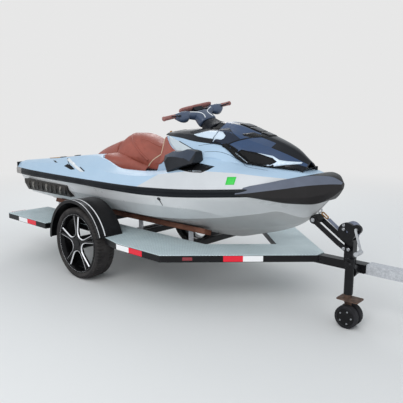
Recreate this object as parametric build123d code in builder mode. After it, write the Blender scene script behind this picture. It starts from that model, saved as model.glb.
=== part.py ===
"""A three-seat personal watercraft standing on its single-axle trailer, in millimetres.

Frame: +X to the bow, +Y to port, +Z up, the origin on the ground under the middle of the whole length.
Lengthwise sizes are counted from the wheel axle, and axle_x carries them into this frame.
"""

from build123d import *
from collections import namedtuple
from math import asin, atan2, cos, hypot, pi, radians, sin
import os

os.makedirs("parts", exist_ok=True)

# Ends of the whole object, from the wheel axle, the craft's transom and half the trailer deck's width
stern_x = -1468
coupler_nose_x = 2890
transom_x = stern_x + 148
deck_half = 820
axle_x = -(stern_x + coupler_nose_x) / 2

# Clearances
seat_gap = 0.3
panel_gap = 6
running_gap = 0.05
SIDES = ((-1, "starboard"), (1, "port"))

# Wheels and axle
wheel_radius = 308
tyre_width = 185
rim_radius = wheel_radius - 58
rim_wall = 9
wheel_y = deck_half - 95
spoke_count = 5
spoke_depth = 24
disc_radius = 58
hub_radius = 54
spindle_radius = 15
axle_tube = 60
axle_lead = 130
arm_thickness = 25

# Trailer deck and frame
deck_top = 416
plate_thickness = 5
rail_depth = 50
rail_width = 50
deck_rear_x = -1157
taper_x = 1041
apex_x = 1856
apex_half = 45
opening_half = 380
opening_taper_x = 1080
notch_rear_x = -470
notch_front_x = 350
notch_shoulder = 50
notch_corner_x = 560
notch_y = wheel_y - 121
cross_member = 50
cross_half = opening_half + 2 * rail_width
cross_member_x = (-1120, -520, 200, 820)
frame_top = deck_top - plate_thickness
frame_bottom = frame_top - rail_depth
cross_bottom = frame_bottom - cross_member

# Fenders
fender_radius = 376
fender_sheet = 4
fender_lip = 26
fender_outer_y = deck_half + 12

# Hull and bunks
keel_z = 405
chine_y = 475
chine_z = 575
bunk_y = 236
bunk_width = 90
bunk_thickness = 42
bunk_rear_x = -1150
bunk_front_x = 990
bracket_leg = 50
bracket_sheet = 6

# Tongue, coupler, winch stand and jack
tongue_width = 76
tongue_height = 60
tongue_rear_x = 1500
opening_apex_x = tongue_rear_x - 20
tongue_front_x = 2330
coupler_sheet = 5
ball_radius = 25.4
ball_x = 2835
stand_x = 2075
stand_width = 64
stand_top = 556
stand_arm_thickness = 10
roller_radius = 33
roller_length = 90
winch_wound_radius = 56
winch_cheek_radius = 52
winch_cover_radius = 62
winch_z = 622
winch_x = 2070
winch_pinion = (70, 26)
crank_reach = (46, -140)
jack_x = 2140
jack_y = -142
jack_tube_radius = 30
jack_inner_radius = 24
jack_top = 470
jack_tube_bottom = 225
jack_pivot_z = 372
caster_radius = 78
caster_width = 46
caster_gap = 20
caster_trail = 13
foot_plate_z = 190
foot_plate_thickness = 7

# Watercraft: heights of its flat floors and its fittings
seat_floor = 905
seat_bay_half = 252
seat_bay_rear_x = -640
console_rear_x = 430
footwell_floor = 720
footwell_in = 280
footwell_out = 425
footwell_rear_x = -130
footwell_front_x = 780
footwell_x = (footwell_rear_x + footwell_front_x) / 2
footwell_y = (footwell_in + footwell_out) / 2
engine_bay = (-400, 380, 200, 480)
bin_rear_x = 1090
bin_front_x = 1420
bin_half = 150
bin_floor = 700
rail_proud = 14
mat_thickness = 6

# Steering
bar_x = 660
bar_z = 1424
bar_lean_deg = 50
bar_turn_deg = -14.5
bar_half = 354
bar_radius = 11
grip_radius = 17
grip_length = 118
neck_foot = -150
collar_top = neck_foot - panel_gap
collar_radius = 50
column_foot = -300
column_radius = 22
neck_top = -bar_radius - 4

# Jet pump
pump_z = 545
pump_radius = 92
pump_bore = 78
pump_front_x = transom_x + 210
pump_rear_x = transom_x + 84
tunnel_half = 125
tunnel_front_x = transom_x + 260
tunnel_top = 752
shaft_radius = 10
shaft_boss_radius = 26
venturi_end_x = transom_x + 30
venturi_front_radius = 60
venturi_radius = 40
venturi_wall = 5
nozzle_pivot_x = transom_x + 32
nozzle_end_x = transom_x - 65
nozzle_pin_radius = 5
nozzle_ratio = 0.8
ear_z = 78
ear_thickness = 8
bucket_pivot_x = transom_x + 95
bucket_radius = 192
bucket_in = 100
bucket_sheet = 5
bucket_pin_radius = 8
intake_rear_x = tunnel_front_x + 30
intake_front_x = tunnel_front_x + 330
intake_half = 84
intake_roof = keel_z + 95
grate_z = keel_z + 32
grate_depth = 12


def cross(x):
    """The plane across the craft at x from the axle: local x is port, local y is up."""
    return Plane(origin=(axle_x + x, 0, 0), x_dir=(0, 1, 0), z_dir=(1, 0, 0))


def side_view(y):
    """The plane along the craft at y: local x is forward from the axle, local y is up, depth to starboard."""
    return Plane(origin=(axle_x, y, 0), x_dir=(1, 0, 0), z_dir=(0, -1, 0))


def level(z):
    """The plan at height z: local x is forward from the axle, local y is port."""
    return Plane(origin=(axle_x, 0, z), x_dir=(1, 0, 0), z_dir=(0, 0, 1))


def wheel_plane(side):
    """Local x is outboard from the centreline along the wheel axis, local y is the radius."""
    return Plane(origin=(axle_x, 0, wheel_radius), x_dir=(0, side, 0), z_dir=(side, 0, 0))


lean = radians(bar_lean_deg)
turn = radians(bar_turn_deg)
column = Vector(-sin(lean), 0, cos(lean))
straight = Vector(0, 1, 0)
bar_dir = straight * cos(turn) + column.cross(straight) * sin(turn)
bar_origin = Vector(axle_x + bar_x, 0, bar_z)


def on_column(height):
    """The plane square to the steering column, this far up it: local x runs along the bar to port."""
    return Plane(origin=bar_origin + column * height, x_dir=bar_dir, z_dir=column)


def along_bar(out):
    """The plane square to the bar, this far out to port."""
    return Plane(origin=bar_origin + bar_dir * out, x_dir=column.cross(bar_dir), z_dir=bar_dir)


def mirrored(half):
    """A closed outline from its port half, given from the bottom centre round to the top centre."""
    return half + [(-y, z) for y, z in reversed(half) if y > 0]


def outline(plane, points):
    with BuildSketch(plane) as sketch:
        Polygon(*points, align=None)
    return sketch.sketch


def save(part, label):
    part.label = label
    export_step(part, f"parts/{label}.step")


# Stations of the watercraft from stern to bow, each a half section:
# the hull's keel, chine and side line, the rail's foot and head, then the deck's shoulder, crown and top
Station = namedtuple(
    "Station",
    "x keel chine_y chine_z line_y line_z rail_y rail_foot rail_head "
    "shoulder_y shoulder_z crown_y crown_z top_y top_z",
)
stations = [
    Station(stern_x + 28, None, None, None, None, None, 548, 770, 838, 512, 885, 440, 903, 200, 903),
    Station(transom_x, keel_z, 455, 578, 522, 688, 570, 771, 837, 526, 893, 445, 912, 200, 912),
    Station(-900, keel_z, chine_y, chine_z, 565, 689, 606, 774, 834, 545, 917, 450, 950, 215, 950),
    Station(-200, keel_z, chine_y, chine_z, 585, 690, 625, 778, 832, 560, 945, 440, 1034, 262, 1000),
    Station(-50, keel_z, chine_y, chine_z, 586, 690, 627, 777, 832, 562, 935, 440, 1024, 262, 970),
    Station(200, keel_z, chine_y, chine_z, 588, 690, 627.5, 774, 832, 565, 902, 455, 942, 262, 906),
    Station(500, keel_z, chine_y, chine_z, 586, 692, 624, 774, 835, 565, 902, 455, 946, 262, 906),
    Station(850, keel_z, 440, 592, 560, 700, 600, 784, 847, 530, 965, 400, 1060, 260, 1090),
    Station(1100, 412, 375, 620, 500, 712, 553, 800, 860, 480, 1000, 350, 1075, 240, 1090),
    Station(1320, 468, 300, 655, 425, 735, 484, 818, 876, 415, 995, 290, 1035, 180, 1040),
    Station(1540, 536, 215, 697, 325, 765, 390, 835, 893, 335, 978, 215, 1018, 120, 1022),
    Station(1720, 621, 24, 642, 215, 795, 272, 850, 908, 228, 962, 140, 1000, 70, 1003),
    Station(1860, 760, 12, 770, 100, 825, 140, 862, 918, 112, 948, 70, 972, 35, 975),
    Station(1925, 838, 6, 845, 30, 862, 45, 880, 925, 38, 940, 25, 950, 12, 952),
]
hull_stations = stations[1:]
rail_end_x = 1540


def hull_section(s):
    half = [(0, s.keel), (s.chine_y, s.chine_z), (s.line_y, s.line_z)]
    half += [(s.rail_y, s.rail_foot), (s.rail_y, s.rail_head)]
    return outline(cross(s.x), mirrored(half))


def deck_section(s):
    half = [
        (0, s.rail_head),
        (s.rail_y, s.rail_head),
        (s.shoulder_y, s.shoulder_z),
        (s.crown_y, s.crown_z),
        (s.top_y, s.top_z),
        (0, s.top_z),
    ]
    return outline(cross(s.x), mirrored(half))


def footwells():
    """The two foot trenches, as solids to cut with."""
    with BuildPart() as trenches:
        for side, _ in SIDES:
            with BuildSketch(level(footwell_floor)):
                with Locations((footwell_x, side * footwell_y)):
                    Rectangle(footwell_front_x - footwell_rear_x, footwell_out - footwell_in)
            extrude(amount=500)
    return trenches.part


def box(x0, x1, y0, y1, z0, z1):
    """A plain block between named limits, as a solid to cut or build with."""
    with BuildPart() as block:
        with BuildSketch(level(z0)):
            with Locations(((x0 + x1) / 2, (y0 + y1) / 2)):
                Rectangle(x1 - x0, y1 - y0)
        extrude(amount=z1 - z0)
    return block.part


foot_trenches = footwells()
engine_rear_x, engine_front_x, engine_half, engine_floor = engine_bay
engine_room = box(engine_rear_x, engine_front_x, -engine_half, engine_half, engine_floor, seat_floor + 200)
storage_room = box(bin_rear_x, bin_front_x, -bin_half, bin_half, bin_floor, 1400)
pump_tunnel = box(stern_x, tunnel_front_x, -tunnel_half, tunnel_half, 0, tunnel_top)
seat_bay = box(seat_bay_rear_x, console_rear_x, -seat_bay_half, seat_bay_half, seat_floor, 1300)
water_intake = box(intake_rear_x, intake_front_x, -intake_half, intake_half, 0, intake_roof)

# Hull: the moulded lower shell, with the foot trenches, engine room, front bin and pump tunnel
with BuildPart() as hull:
    loft([hull_section(s) for s in hull_stations], ruled=True)
    add(foot_trenches, mode=Mode.SUBTRACT)
    add(engine_room, mode=Mode.SUBTRACT)
    add(storage_room, mode=Mode.SUBTRACT)
    add(pump_tunnel, mode=Mode.SUBTRACT)
    add(water_intake, mode=Mode.SUBTRACT)
save(hull.part, "hull")

# Intake grate: the cast plate with its slots, let into the keel ahead of the pump
slot_count = 4
slot_pitch = 36
with BuildPart() as intake_grate:
    with BuildSketch(level(grate_z)):
        with Locations(((intake_rear_x + intake_front_x) / 2, 0)):
            Rectangle(intake_front_x - intake_rear_x - 2 * seat_gap, 2 * (intake_half - seat_gap))
            with GridLocations(0, slot_pitch, 1, slot_count):
                Rectangle(intake_front_x - intake_rear_x - 60, slot_pitch - 12, mode=Mode.SUBTRACT)
    extrude(amount=grate_depth)
save(intake_grate.part, "intake_grate")

# Deck: the upper shell and the steering cowl that rises from it, one moulding
CowlStation = namedtuple("CowlStation", "x low_y low_z high_y high_z")
cowl_base = 900
cowl_stations = [
    CowlStation(console_rear_x, 200, 1000, 160, 1220),
    CowlStation(650, 335, 1020, 250, 1215),
    CowlStation(900, 385, 1085, 290, 1188),
    CowlStation(1040, 375, 1085, 280, 1178),
    CowlStation(1160, 345, 1080, 262, 1166),
    CowlStation(1300, 290, 1030, 240, 1056),
]


def cowl_section(c):
    half = [(0, cowl_base), (c.low_y - 40, cowl_base), (c.low_y, c.low_z)]
    half += [(c.high_y, c.high_z), (0, c.high_z)]
    return outline(cross(c.x), mirrored(half))


with BuildPart() as deck:
    loft([deck_section(s) for s in stations], ruled=True)
    loft([cowl_section(c) for c in cowl_stations], ruled=True)
    add(seat_bay, mode=Mode.SUBTRACT)
    add(foot_trenches, mode=Mode.SUBTRACT)
    add(engine_room, mode=Mode.SUBTRACT)
    add(storage_room, mode=Mode.SUBTRACT)
save(deck.part, "deck")

# Rubbing rails: the black bands over the joint of hull and deck, standing proud of both
with BuildPart() as rub_rails:
    for side, _ in SIDES:
        sections = []
        for s in stations:
            if s.x > rail_end_x:
                continue
            inner = side * (s.rail_y + seat_gap)
            outer = side * (s.rail_y + rail_proud)
            band = [(inner, s.rail_foot), (outer, s.rail_foot + 6)]
            band += [(outer, s.rail_head - 6), (inner, s.rail_head)]
            sections.append(outline(cross(s.x), band))
        loft(sections, ruled=True)
save(rub_rails.part, "rub_rails")

# Bow bumper: the thick rubber moulding round the nose, hollowed where hull and deck sit in it
BumperStation = namedtuple("BumperStation", "x foot_y foot_z wide_y wide_z head_y head_z")
bumper_stations = [
    BumperStation(1545, 385, 832, 420, 858, 382, 905),
    BumperStation(1720, 272, 800, 318, 860, 262, 962),
    BumperStation(1860, 140, 790, 212, 862, 130, 990),
    BumperStation(1940, 55, 838, 105, 895, 62, 985),
    BumperStation(1975, 22, 868, 50, 918, 26, 967),
    BumperStation(1992, 8, 895, 20, 925, 10, 945),
]
with BuildPart() as bow_bumper:
    bumper_sections = []
    for b in bumper_stations:
        half = [(0, b.foot_z), (b.foot_y, b.foot_z), (b.wide_y, b.wide_z)]
        half += [(b.head_y, b.head_z), (0, b.head_z)]
        bumper_sections.append(outline(cross(b.x), mirrored(half)))
    loft(bumper_sections, ruled=True)
    add(hull.part, mode=Mode.SUBTRACT)
    add(deck.part, mode=Mode.SUBTRACT)
save(bow_bumper.part, "bow_bumper")

# Stern bumper: the moulding across the transom under the rear platform
with BuildPart() as stern_bumper:
    with BuildSketch(level(stations[0].rail_foot - 2)):
        with BuildLine():
            Polyline(
                (stations[0].x - seat_gap, -stations[0].rail_y),
                (stations[0].x - seat_gap, stations[0].rail_y),
                (stations[0].x - 12, stations[0].rail_y),
                (stern_x, stations[0].rail_y - 48),
                (stern_x, 48 - stations[0].rail_y),
                (stations[0].x - 12, -stations[0].rail_y),
                close=True,
            )
        make_face()
    extrude(amount=120)
    fillet(stern_bumper.edges().filter_by(Axis.Z), 6)
save(stern_bumper.part, "stern_bumper")

# Seats: a low passenger saddle and the driver's saddle with its bolster, both on the flat seat bay
SeatStation = namedtuple("SeatStation", "x base_y side_y side_z top_y top_z ridge_z")
seat_bolster_x = -176
passenger_stations = [
    SeatStation(-632, 150, 165, 938, 90, 968, 974),
    SeatStation(-475, 215, 228, 972, 120, 1050, 1062),
    SeatStation(-230, 232, 242, 1000, 130, 1140, 1155),
    SeatStation(seat_bolster_x - 2, 234, 244, 1006, 130, 1165, 1182),
]
driver_stations = [
    SeatStation(seat_bolster_x, 234, 244, 1006, 130, 1185, 1200),
    SeatStation(-30, 228, 240, 1010, 118, 1205, 1220),
    SeatStation(140, 215, 218, 1005, 110, 1175, 1190),
    SeatStation(260, 195, 192, 995, 100, 1118, 1132),
    SeatStation(380, 150, 155, 985, 85, 1092, 1106),
]
for seat_name, seat_stations in (("seat_passenger", passenger_stations), ("seat_driver", driver_stations)):
    with BuildPart() as seat:
        seat_sections = []
        for s in seat_stations:
            base = seat_floor + seat_gap
            half = [(0, base), (s.base_y, base), (s.side_y, s.side_z), (s.top_y, s.top_z), (0, s.ridge_z)]
            seat_sections.append(outline(cross(s.x), mirrored(half)[: 2 * len(half) - 2]))
        loft(seat_sections, ruled=True)
    save(seat.part, seat_name)

# Knee pad: the upholstered end of the console, facing the driver
knee_pad_thickness = 42
with BuildPart() as knee_pad:
    with BuildSketch(cross(console_rear_x - seat_gap)):
        Polygon((-150, 960), (150, 960), (190, 1000), (152, 1222), (-152, 1222), (-190, 1000), align=None)
    extrude(amount=-knee_pad_thickness, taper=4)
save(knee_pad.part, "knee_pad")

# Mats: on the rear platform and along the foot trenches
rear_mat_stations = stations[1:3]
rear_mat_front_x = -660
with BuildPart() as rear_mats:
    mat_sections = []
    first, last = rear_mat_stations
    for x in (first.x - 60, rear_mat_front_x):
        if x < first.x:
            behind = stations[0]
            z = behind.top_z + (x - behind.x) * (first.top_z - behind.top_z) / (first.x - behind.x)
        else:
            ahead = stations[3]
            z = last.top_z + (x - last.x) * (ahead.top_z - last.top_z) / (ahead.x - last.x)
        mat_sections.append((x, z))
    slopes = [mat_sections[0], (first.x, first.top_z), (last.x, last.top_z), mat_sections[1]]
    lower = [(x, z + seat_gap) for x, z in slopes]
    upper = [(x, z + seat_gap + mat_thickness) for x, z in reversed(slopes)]
    for side, _ in SIDES:
        with BuildSketch(side_view(side * 110 + 90)):
            Polygon(*lower, *upper, align=None)
        extrude(amount=180)
save(rear_mats.part, "rear_mats")

with BuildPart() as foot_mats:
    for side, _ in SIDES:
        with BuildSketch(level(footwell_floor)):
            with Locations((footwell_x, side * footwell_y)):
                Rectangle(footwell_front_x - footwell_rear_x - 20, footwell_out - footwell_in - 20)
        extrude(amount=mat_thickness)
save(foot_mats.part, "foot_mats")

# Engine: one plain block at its place under the seat
engine_length = 520
engine_width = 300
engine_height = 330
engine_feet = 40
with BuildPart() as engine:
    with BuildSketch(level(engine_floor + engine_feet)):
        with Locations((0, 0)):
            Rectangle(engine_length, engine_width)
    extrude(amount=engine_height)
    with BuildSketch(level(engine_floor)):
        with GridLocations(engine_length - 80, engine_width - 60, 2, 2):
            Rectangle(70, 50)
    extrude(amount=engine_feet)
save(engine.part, "engine_block")

# Trailer deck plan, port half from the stern round to the bow
deck_half_plan = [
    (deck_rear_x, opening_half),
    (deck_rear_x, deck_half),
    (notch_rear_x, deck_half),
    (notch_rear_x + 20, notch_y),
    (notch_front_x, notch_y),
    (notch_front_x, deck_half - notch_shoulder),
    (notch_corner_x, deck_half),
    (taper_x, deck_half),
    (apex_x, apex_half),
]
opening_edge = [(opening_apex_x, 0), (opening_taper_x, opening_half)]
deck_plan = deck_half_plan + [(x, -y) for x, y in reversed(deck_half_plan)]
deck_plan += [(opening_taper_x, -opening_half), (opening_apex_x, 0), (opening_taper_x, opening_half)]

tongue_top = deck_top - plate_thickness
tongue_bottom = tongue_top - tongue_height
tongue_block = box(
    tongue_rear_x, tongue_front_x, -tongue_width / 2, tongue_width / 2, tongue_bottom - 1, tongue_top
)

# Trailer frame: welded box tube round each side of the deck, open at the stern
with BuildPart() as trailer_frame:
    with BuildSketch(level(frame_bottom)):
        Polygon(*deck_plan, align=None)
    extrude(amount=rail_depth)
    with BuildSketch(level(frame_bottom)):
        Polygon(*deck_plan, align=None)
        offset(amount=-rail_width, kind=Kind.INTERSECTION)
    extrude(amount=rail_depth, mode=Mode.SUBTRACT)
    add(tongue_block, mode=Mode.SUBTRACT)
save(trailer_frame.part, "trailer_frame")

with BuildPart() as deck_plate:
    with BuildSketch(level(frame_top)):
        Polygon(*deck_plan, align=None)
    extrude(amount=plate_thickness)
save(deck_plate.part, "deck_plate")

with BuildPart() as cross_members:
    for x in cross_member_x:
        with BuildSketch(side_view(cross_half)):
            with Locations((x, cross_bottom + cross_member / 2)):
                Rectangle(cross_member, cross_member)
                Rectangle(cross_member - 8, cross_member - 8, mode=Mode.SUBTRACT)
        extrude(amount=2 * cross_half)
save(cross_members.part, "cross_members")

# Tongue: the drawbar from the deck's point to the coupler
with BuildPart() as tongue:
    with BuildSketch(cross(tongue_rear_x)):
        with Locations((0, (tongue_top + tongue_bottom) / 2)):
            Rectangle(tongue_width, tongue_height)
            Rectangle(tongue_width - 10, tongue_height - 10, mode=Mode.SUBTRACT)
    extrude(amount=tongue_front_x - tongue_rear_x)
save(tongue.part, "tongue")

# Coupler: the pressed socket that takes the ball, sleeved over the tongue's end
coupler_inner = tongue_width / 2 + seat_gap
coupler_low = tongue_bottom
coupler_high = tongue_top + seat_gap + coupler_sheet
coupler_sleeve = 120
dome_radius = ball_radius + coupler_sheet
with BuildPart() as coupler:
    with BuildSketch(side_view(coupler_inner + coupler_sheet)):
        Polygon(
            (tongue_front_x - coupler_sleeve, coupler_low),
            (tongue_front_x + 60, coupler_low),
            (ball_x - 40, coupler_low + 6),
            (ball_x, coupler_low + 6),
            (ball_x, coupler_high + 14),
            (ball_x - 60, coupler_high + 14),
            (ball_x - 110, coupler_high),
            (tongue_front_x - coupler_sleeve, coupler_high),
            align=None,
        )
    extrude(amount=2 * (coupler_inner + coupler_sheet))
    with BuildSketch(level(coupler_low + 6)):
        with Locations((ball_x, 0)):
            Circle(coupler_nose_x - ball_x)
    extrude(amount=coupler_high + 14 - coupler_low - 6)
    sleeve_end_x = tongue_front_x - coupler_sleeve
    sleeve = box(sleeve_end_x, tongue_front_x, -coupler_inner, coupler_inner, 0, tongue_top + seat_gap)
    add(sleeve, mode=Mode.SUBTRACT)
    add(box(tongue_front_x, ball_x - 70, -coupler_inner, coupler_inner, 0, tongue_top), mode=Mode.SUBTRACT)
    with BuildSketch(level(0)):
        with Locations((ball_x, 0)):
            Circle(ball_radius + running_gap)
    extrude(amount=coupler_low + 6 + 36, mode=Mode.SUBTRACT)
save(coupler.part, "coupler")

# Torsion axle: the square tube under the frame, a trailing arm and spindle at each end
axle_half = notch_y - 10
with BuildPart() as axle:
    with BuildSketch(side_view(axle_half)):
        with Locations((axle_lead, frame_bottom - axle_tube / 2)):
            Rectangle(axle_tube, axle_tube)
    extrude(amount=2 * axle_half)
save(axle.part, "axle_tube")

arm_in = axle_half
arm_out = axle_half + arm_thickness
with BuildPart() as trailing_arms:
    for side, _ in SIDES:
        with BuildSketch(side_view(side * (arm_in + arm_out) / 2)):
            arm_z = frame_bottom - axle_tube / 2
            with BuildLine():
                Polyline((0, wheel_radius), (axle_lead, arm_z))
            trace(line_width=58)
            with Locations((0, wheel_radius), (axle_lead, arm_z)):
                Circle(29)
        extrude(amount=arm_thickness / 2, both=True)
        with BuildSketch(side_view(side * arm_out)):
            with Locations((0, wheel_radius)):
                Circle(spindle_radius)
        extrude(amount=-side * (wheel_y - arm_out + 10))
save(trailing_arms.part, "trailing_arms")

# Wheels: hub, spoked rim and tyre on each spindle
tyre_bead = 70
face_inset = 16
spoke_face = wheel_y + tyre_width / 2 - face_inset
hub_face = spoke_face - spoke_depth
for side, name in SIDES:
    plane = wheel_plane(side)
    spin_axis = Axis(plane.origin, plane.x_dir)
    hub_back = arm_out + panel_gap

    with BuildPart() as hub:
        with BuildSketch(plane):
            with BuildLine():
                Polyline(
                    (hub_back, spindle_radius + running_gap),
                    (hub_back, hub_radius - 12),
                    (hub_back + 12, hub_radius),
                    (hub_face, hub_radius),
                    (hub_face, 32),
                    (spoke_face + 4, 32),
                    (spoke_face + 4, 0),
                    (wheel_y + 12, 0),
                    (wheel_y + 12, spindle_radius + running_gap),
                    close=True,
                )
            make_face()
        revolve(axis=spin_axis)
    save(hub.part, f"hub_{name}")

    with BuildPart() as rim:
        half_width = tyre_width / 2
        with BuildSketch(plane):
            with BuildLine():
                Polyline(
                    (wheel_y - half_width + 8, rim_radius + 8),
                    (wheel_y - half_width + 8, rim_radius - rim_wall),
                    (wheel_y - 40, rim_radius - 26),
                    (wheel_y + 40, rim_radius - 26),
                    (wheel_y + half_width - 8, rim_radius - rim_wall),
                    (wheel_y + half_width - 8, rim_radius + 8),
                    (wheel_y + half_width - 15, rim_radius + 8),
                    (wheel_y + half_width - 15, rim_radius),
                    (wheel_y + 42, rim_radius - 26 + rim_wall),
                    (wheel_y - 42, rim_radius - 26 + rim_wall),
                    (wheel_y - half_width + 15, rim_radius),
                    (wheel_y - half_width + 15, rim_radius + 8),
                    close=True,
                )
            make_face()
        revolve(axis=spin_axis)
        with BuildSketch(side_view(side * hub_face)):
            with Locations((0, wheel_radius)):
                Circle(disc_radius)
                Circle(32 + seat_gap, mode=Mode.SUBTRACT)
        extrude(amount=-side * spoke_depth)
        with BuildSketch(side_view(side * hub_face)):
            with Locations((0, wheel_radius)):
                with PolarLocations(0, spoke_count, start_angle=90):
                    Polygon(
                        (disc_radius - 20, -24),
                        (disc_radius + 50, -11),
                        (rim_radius - 22, -30),
                        (rim_radius - 6, -30),
                        (rim_radius - 6, -10),
                        (disc_radius + 78, 0),
                        (rim_radius - 6, 10),
                        (rim_radius - 6, 30),
                        (rim_radius - 22, 30),
                        (disc_radius + 50, 11),
                        (disc_radius - 20, 24),
                        align=None,
                    )
        extrude(amount=-side * spoke_depth)
    save(rim.part, f"rim_{name}")

    with BuildPart() as tyre:
        with BuildSketch(plane):
            with BuildLine():
                Polyline(
                    (wheel_y - half_width + 15, rim_radius + 0.3),
                    (wheel_y - half_width + 15, rim_radius + 8.3),
                    (wheel_y - half_width + 4, rim_radius + 12),
                    (wheel_y - half_width, rim_radius + 30),
                    (wheel_y - half_width + 4, wheel_radius - 8),
                    (wheel_y - half_width + 14, wheel_radius),
                    (wheel_y + half_width - 14, wheel_radius),
                    (wheel_y + half_width - 4, wheel_radius - 8),
                    (wheel_y + half_width, rim_radius + 30),
                    (wheel_y + half_width - 4, rim_radius + 12),
                    (wheel_y + half_width - 15, rim_radius + 8.3),
                    (wheel_y + half_width - 15, rim_radius + 0.3),
                    close=True,
                )
            make_face()
        revolve(axis=spin_axis)
    save(tyre.part, f"tyre_{name}")

# Fenders: a rolled sheet arch with an outer lip and an inner plate, standing on the deck ahead of the wheel
foot_rise = deck_top - wheel_radius


def arch_outline(plane, outer, inner):
    """The fender's side view between two radii, from wheel height at the stern to its foot on the deck."""
    outer_foot = (outer**2 - foot_rise**2) ** 0.5
    inner_foot = (inner**2 - foot_rise**2) ** 0.5
    with BuildSketch(plane) as sketch:
        with BuildLine():
            ThreePointArc((outer_foot, deck_top), (0, wheel_radius + outer), (-outer, wheel_radius))
            Line((-outer, wheel_radius), (-inner, wheel_radius))
            ThreePointArc((-inner, wheel_radius), (0, wheel_radius + inner), (inner_foot, deck_top))
            Line((inner_foot, deck_top), (outer_foot, deck_top))
        make_face()
    return sketch.sketch


for side, name in SIDES:
    with BuildPart() as fender:
        outer_side = side_view(side * fender_outer_y)
        crown = arch_outline(outer_side, fender_radius, fender_radius - fender_sheet)
        extrude(crown, amount=side * (fender_outer_y - notch_y))
        lip = arch_outline(outer_side, fender_radius, fender_radius - fender_lip)
        extrude(lip, amount=side * fender_sheet)
        with BuildSketch(side_view(side * notch_y)):
            with BuildLine():
                reach = (fender_radius**2 - foot_rise**2) ** 0.5
                ThreePointArc((reach, deck_top), (0, wheel_radius + fender_radius), (-reach, deck_top))
                Line((-reach, deck_top), (reach, deck_top))
            make_face()
        extrude(amount=side * fender_sheet)
    save(fender.part, f"fender_{name}")

# Bunks: the two long boards under the hull bottom, tilted to it, and their angle brackets
bottom_slope = (chine_z - keel_z) / chine_y
bottom_tilt = atan2(chine_z - keel_z, chine_y)


def bottom_z(y, below=0.0):
    """Height of the hull bottom at y, or of a line that lies this far below it, square to it."""
    return keel_z + abs(y) * bottom_slope - below / cos(bottom_tilt)


half_run = bunk_width / 2 * cos(bottom_tilt)
drop_x = bunk_thickness * sin(bottom_tilt)
drop_z = bunk_thickness * cos(bottom_tilt)
inner, outer = bunk_y - half_run, bunk_y + half_run
inner_z, outer_z = bottom_z(inner, seat_gap), bottom_z(outer, seat_gap)
board = [(inner, inner_z), (outer, outer_z)]
board += [(outer + drop_x, outer_z - drop_z), (inner + drop_x, inner_z - drop_z)]
with BuildPart() as bunks:
    for side, _ in SIDES:
        board_end = outline(cross(bunk_rear_x), [(side * y, z) for y, z in board])
        extrude(board_end, amount=bunk_front_x - bunk_rear_x)
save(bunks.part, "bunks")

with BuildPart() as bunk_brackets:
    for x in cross_member_x:
        for side, _ in SIDES:
            near, far = bunk_y - bracket_leg / 2, bunk_y + bracket_leg / 2
            under = bunk_thickness + 2 * seat_gap
            upright = [
                (near, frame_bottom),
                (far, frame_bottom),
                (far, bottom_z(far, under)),
                (near, bottom_z(near, under)),
            ]
            flange = [
                (far - bracket_sheet, frame_bottom),
                (far, frame_bottom),
                (far, bottom_z(far, under)),
                (far - bracket_sheet, bottom_z(far - bracket_sheet, under)),
            ]
            start = cross(min(x, bunk_front_x - bracket_leg / 2) - bracket_leg / 2)
            extrude(outline(start, [(side * y, z) for y, z in upright]), amount=bracket_sheet)
            extrude(outline(start, [(side * y, z) for y, z in flange]), amount=bracket_leg)
save(bunk_brackets.part, "bunk_brackets")

# Winch stand: the post on the tongue with two arms up to the bow roller
stem_low, stem_high = stations[-3], stations[-2]
stem_run = hypot(stem_high.x - stem_low.x, stem_high.keel - stem_low.keel)
stem_share = 0.47
roller_reach = roller_radius + seat_gap
roller_x = (
    stem_low.x
    + (stem_high.x - stem_low.x) * stem_share
    + roller_reach * (stem_high.keel - stem_low.keel) / stem_run
)
roller_z = (
    stem_low.keel
    + (stem_high.keel - stem_low.keel) * stem_share
    - roller_reach * (stem_high.x - stem_low.x) / stem_run
)
arm_root_x, arm_root_z = stand_x, stand_top - 46
arm_inner_y = roller_length / 2 + 1
with BuildPart() as winch_stand:
    with BuildSketch(level(tongue_top)):
        with Locations((stand_x, 0)):
            Rectangle(stand_width, stand_width)
    extrude(amount=stand_top - tongue_top)
    for side, _ in SIDES:
        with BuildSketch(side_view(side * (arm_inner_y + stand_arm_thickness / 2))):
            with BuildLine():
                Polyline((roller_x, roller_z), (stand_x - 70, arm_root_z + 20), (arm_root_x, arm_root_z - 20))
            trace(line_width=34)
            with Locations((roller_x, roller_z)):
                Circle(27)
        extrude(amount=stand_arm_thickness / 2, both=True)
        with BuildSketch(cross(stand_x - 30)):
            with Locations((side * (stand_width / 2 + arm_inner_y) / 2, arm_root_z - 10)):
                Rectangle(arm_inner_y - stand_width / 2 + 2, 30)
        extrude(amount=50)
    with BuildSketch(side_view(arm_inner_y + stand_arm_thickness + 6)):
        with Locations((roller_x, roller_z)):
            Circle(8)
    extrude(amount=2 * (arm_inner_y + stand_arm_thickness + 6))
save(winch_stand.part, "winch_stand")

with BuildPart() as bow_roller:
    with BuildSketch(side_view(roller_length / 2)):
        with Locations((roller_x, roller_z)):
            Circle(roller_radius)
            Circle(8 + seat_gap, mode=Mode.SUBTRACT)
    extrude(amount=roller_length)
save(bow_roller.part, "bow_roller")

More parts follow.
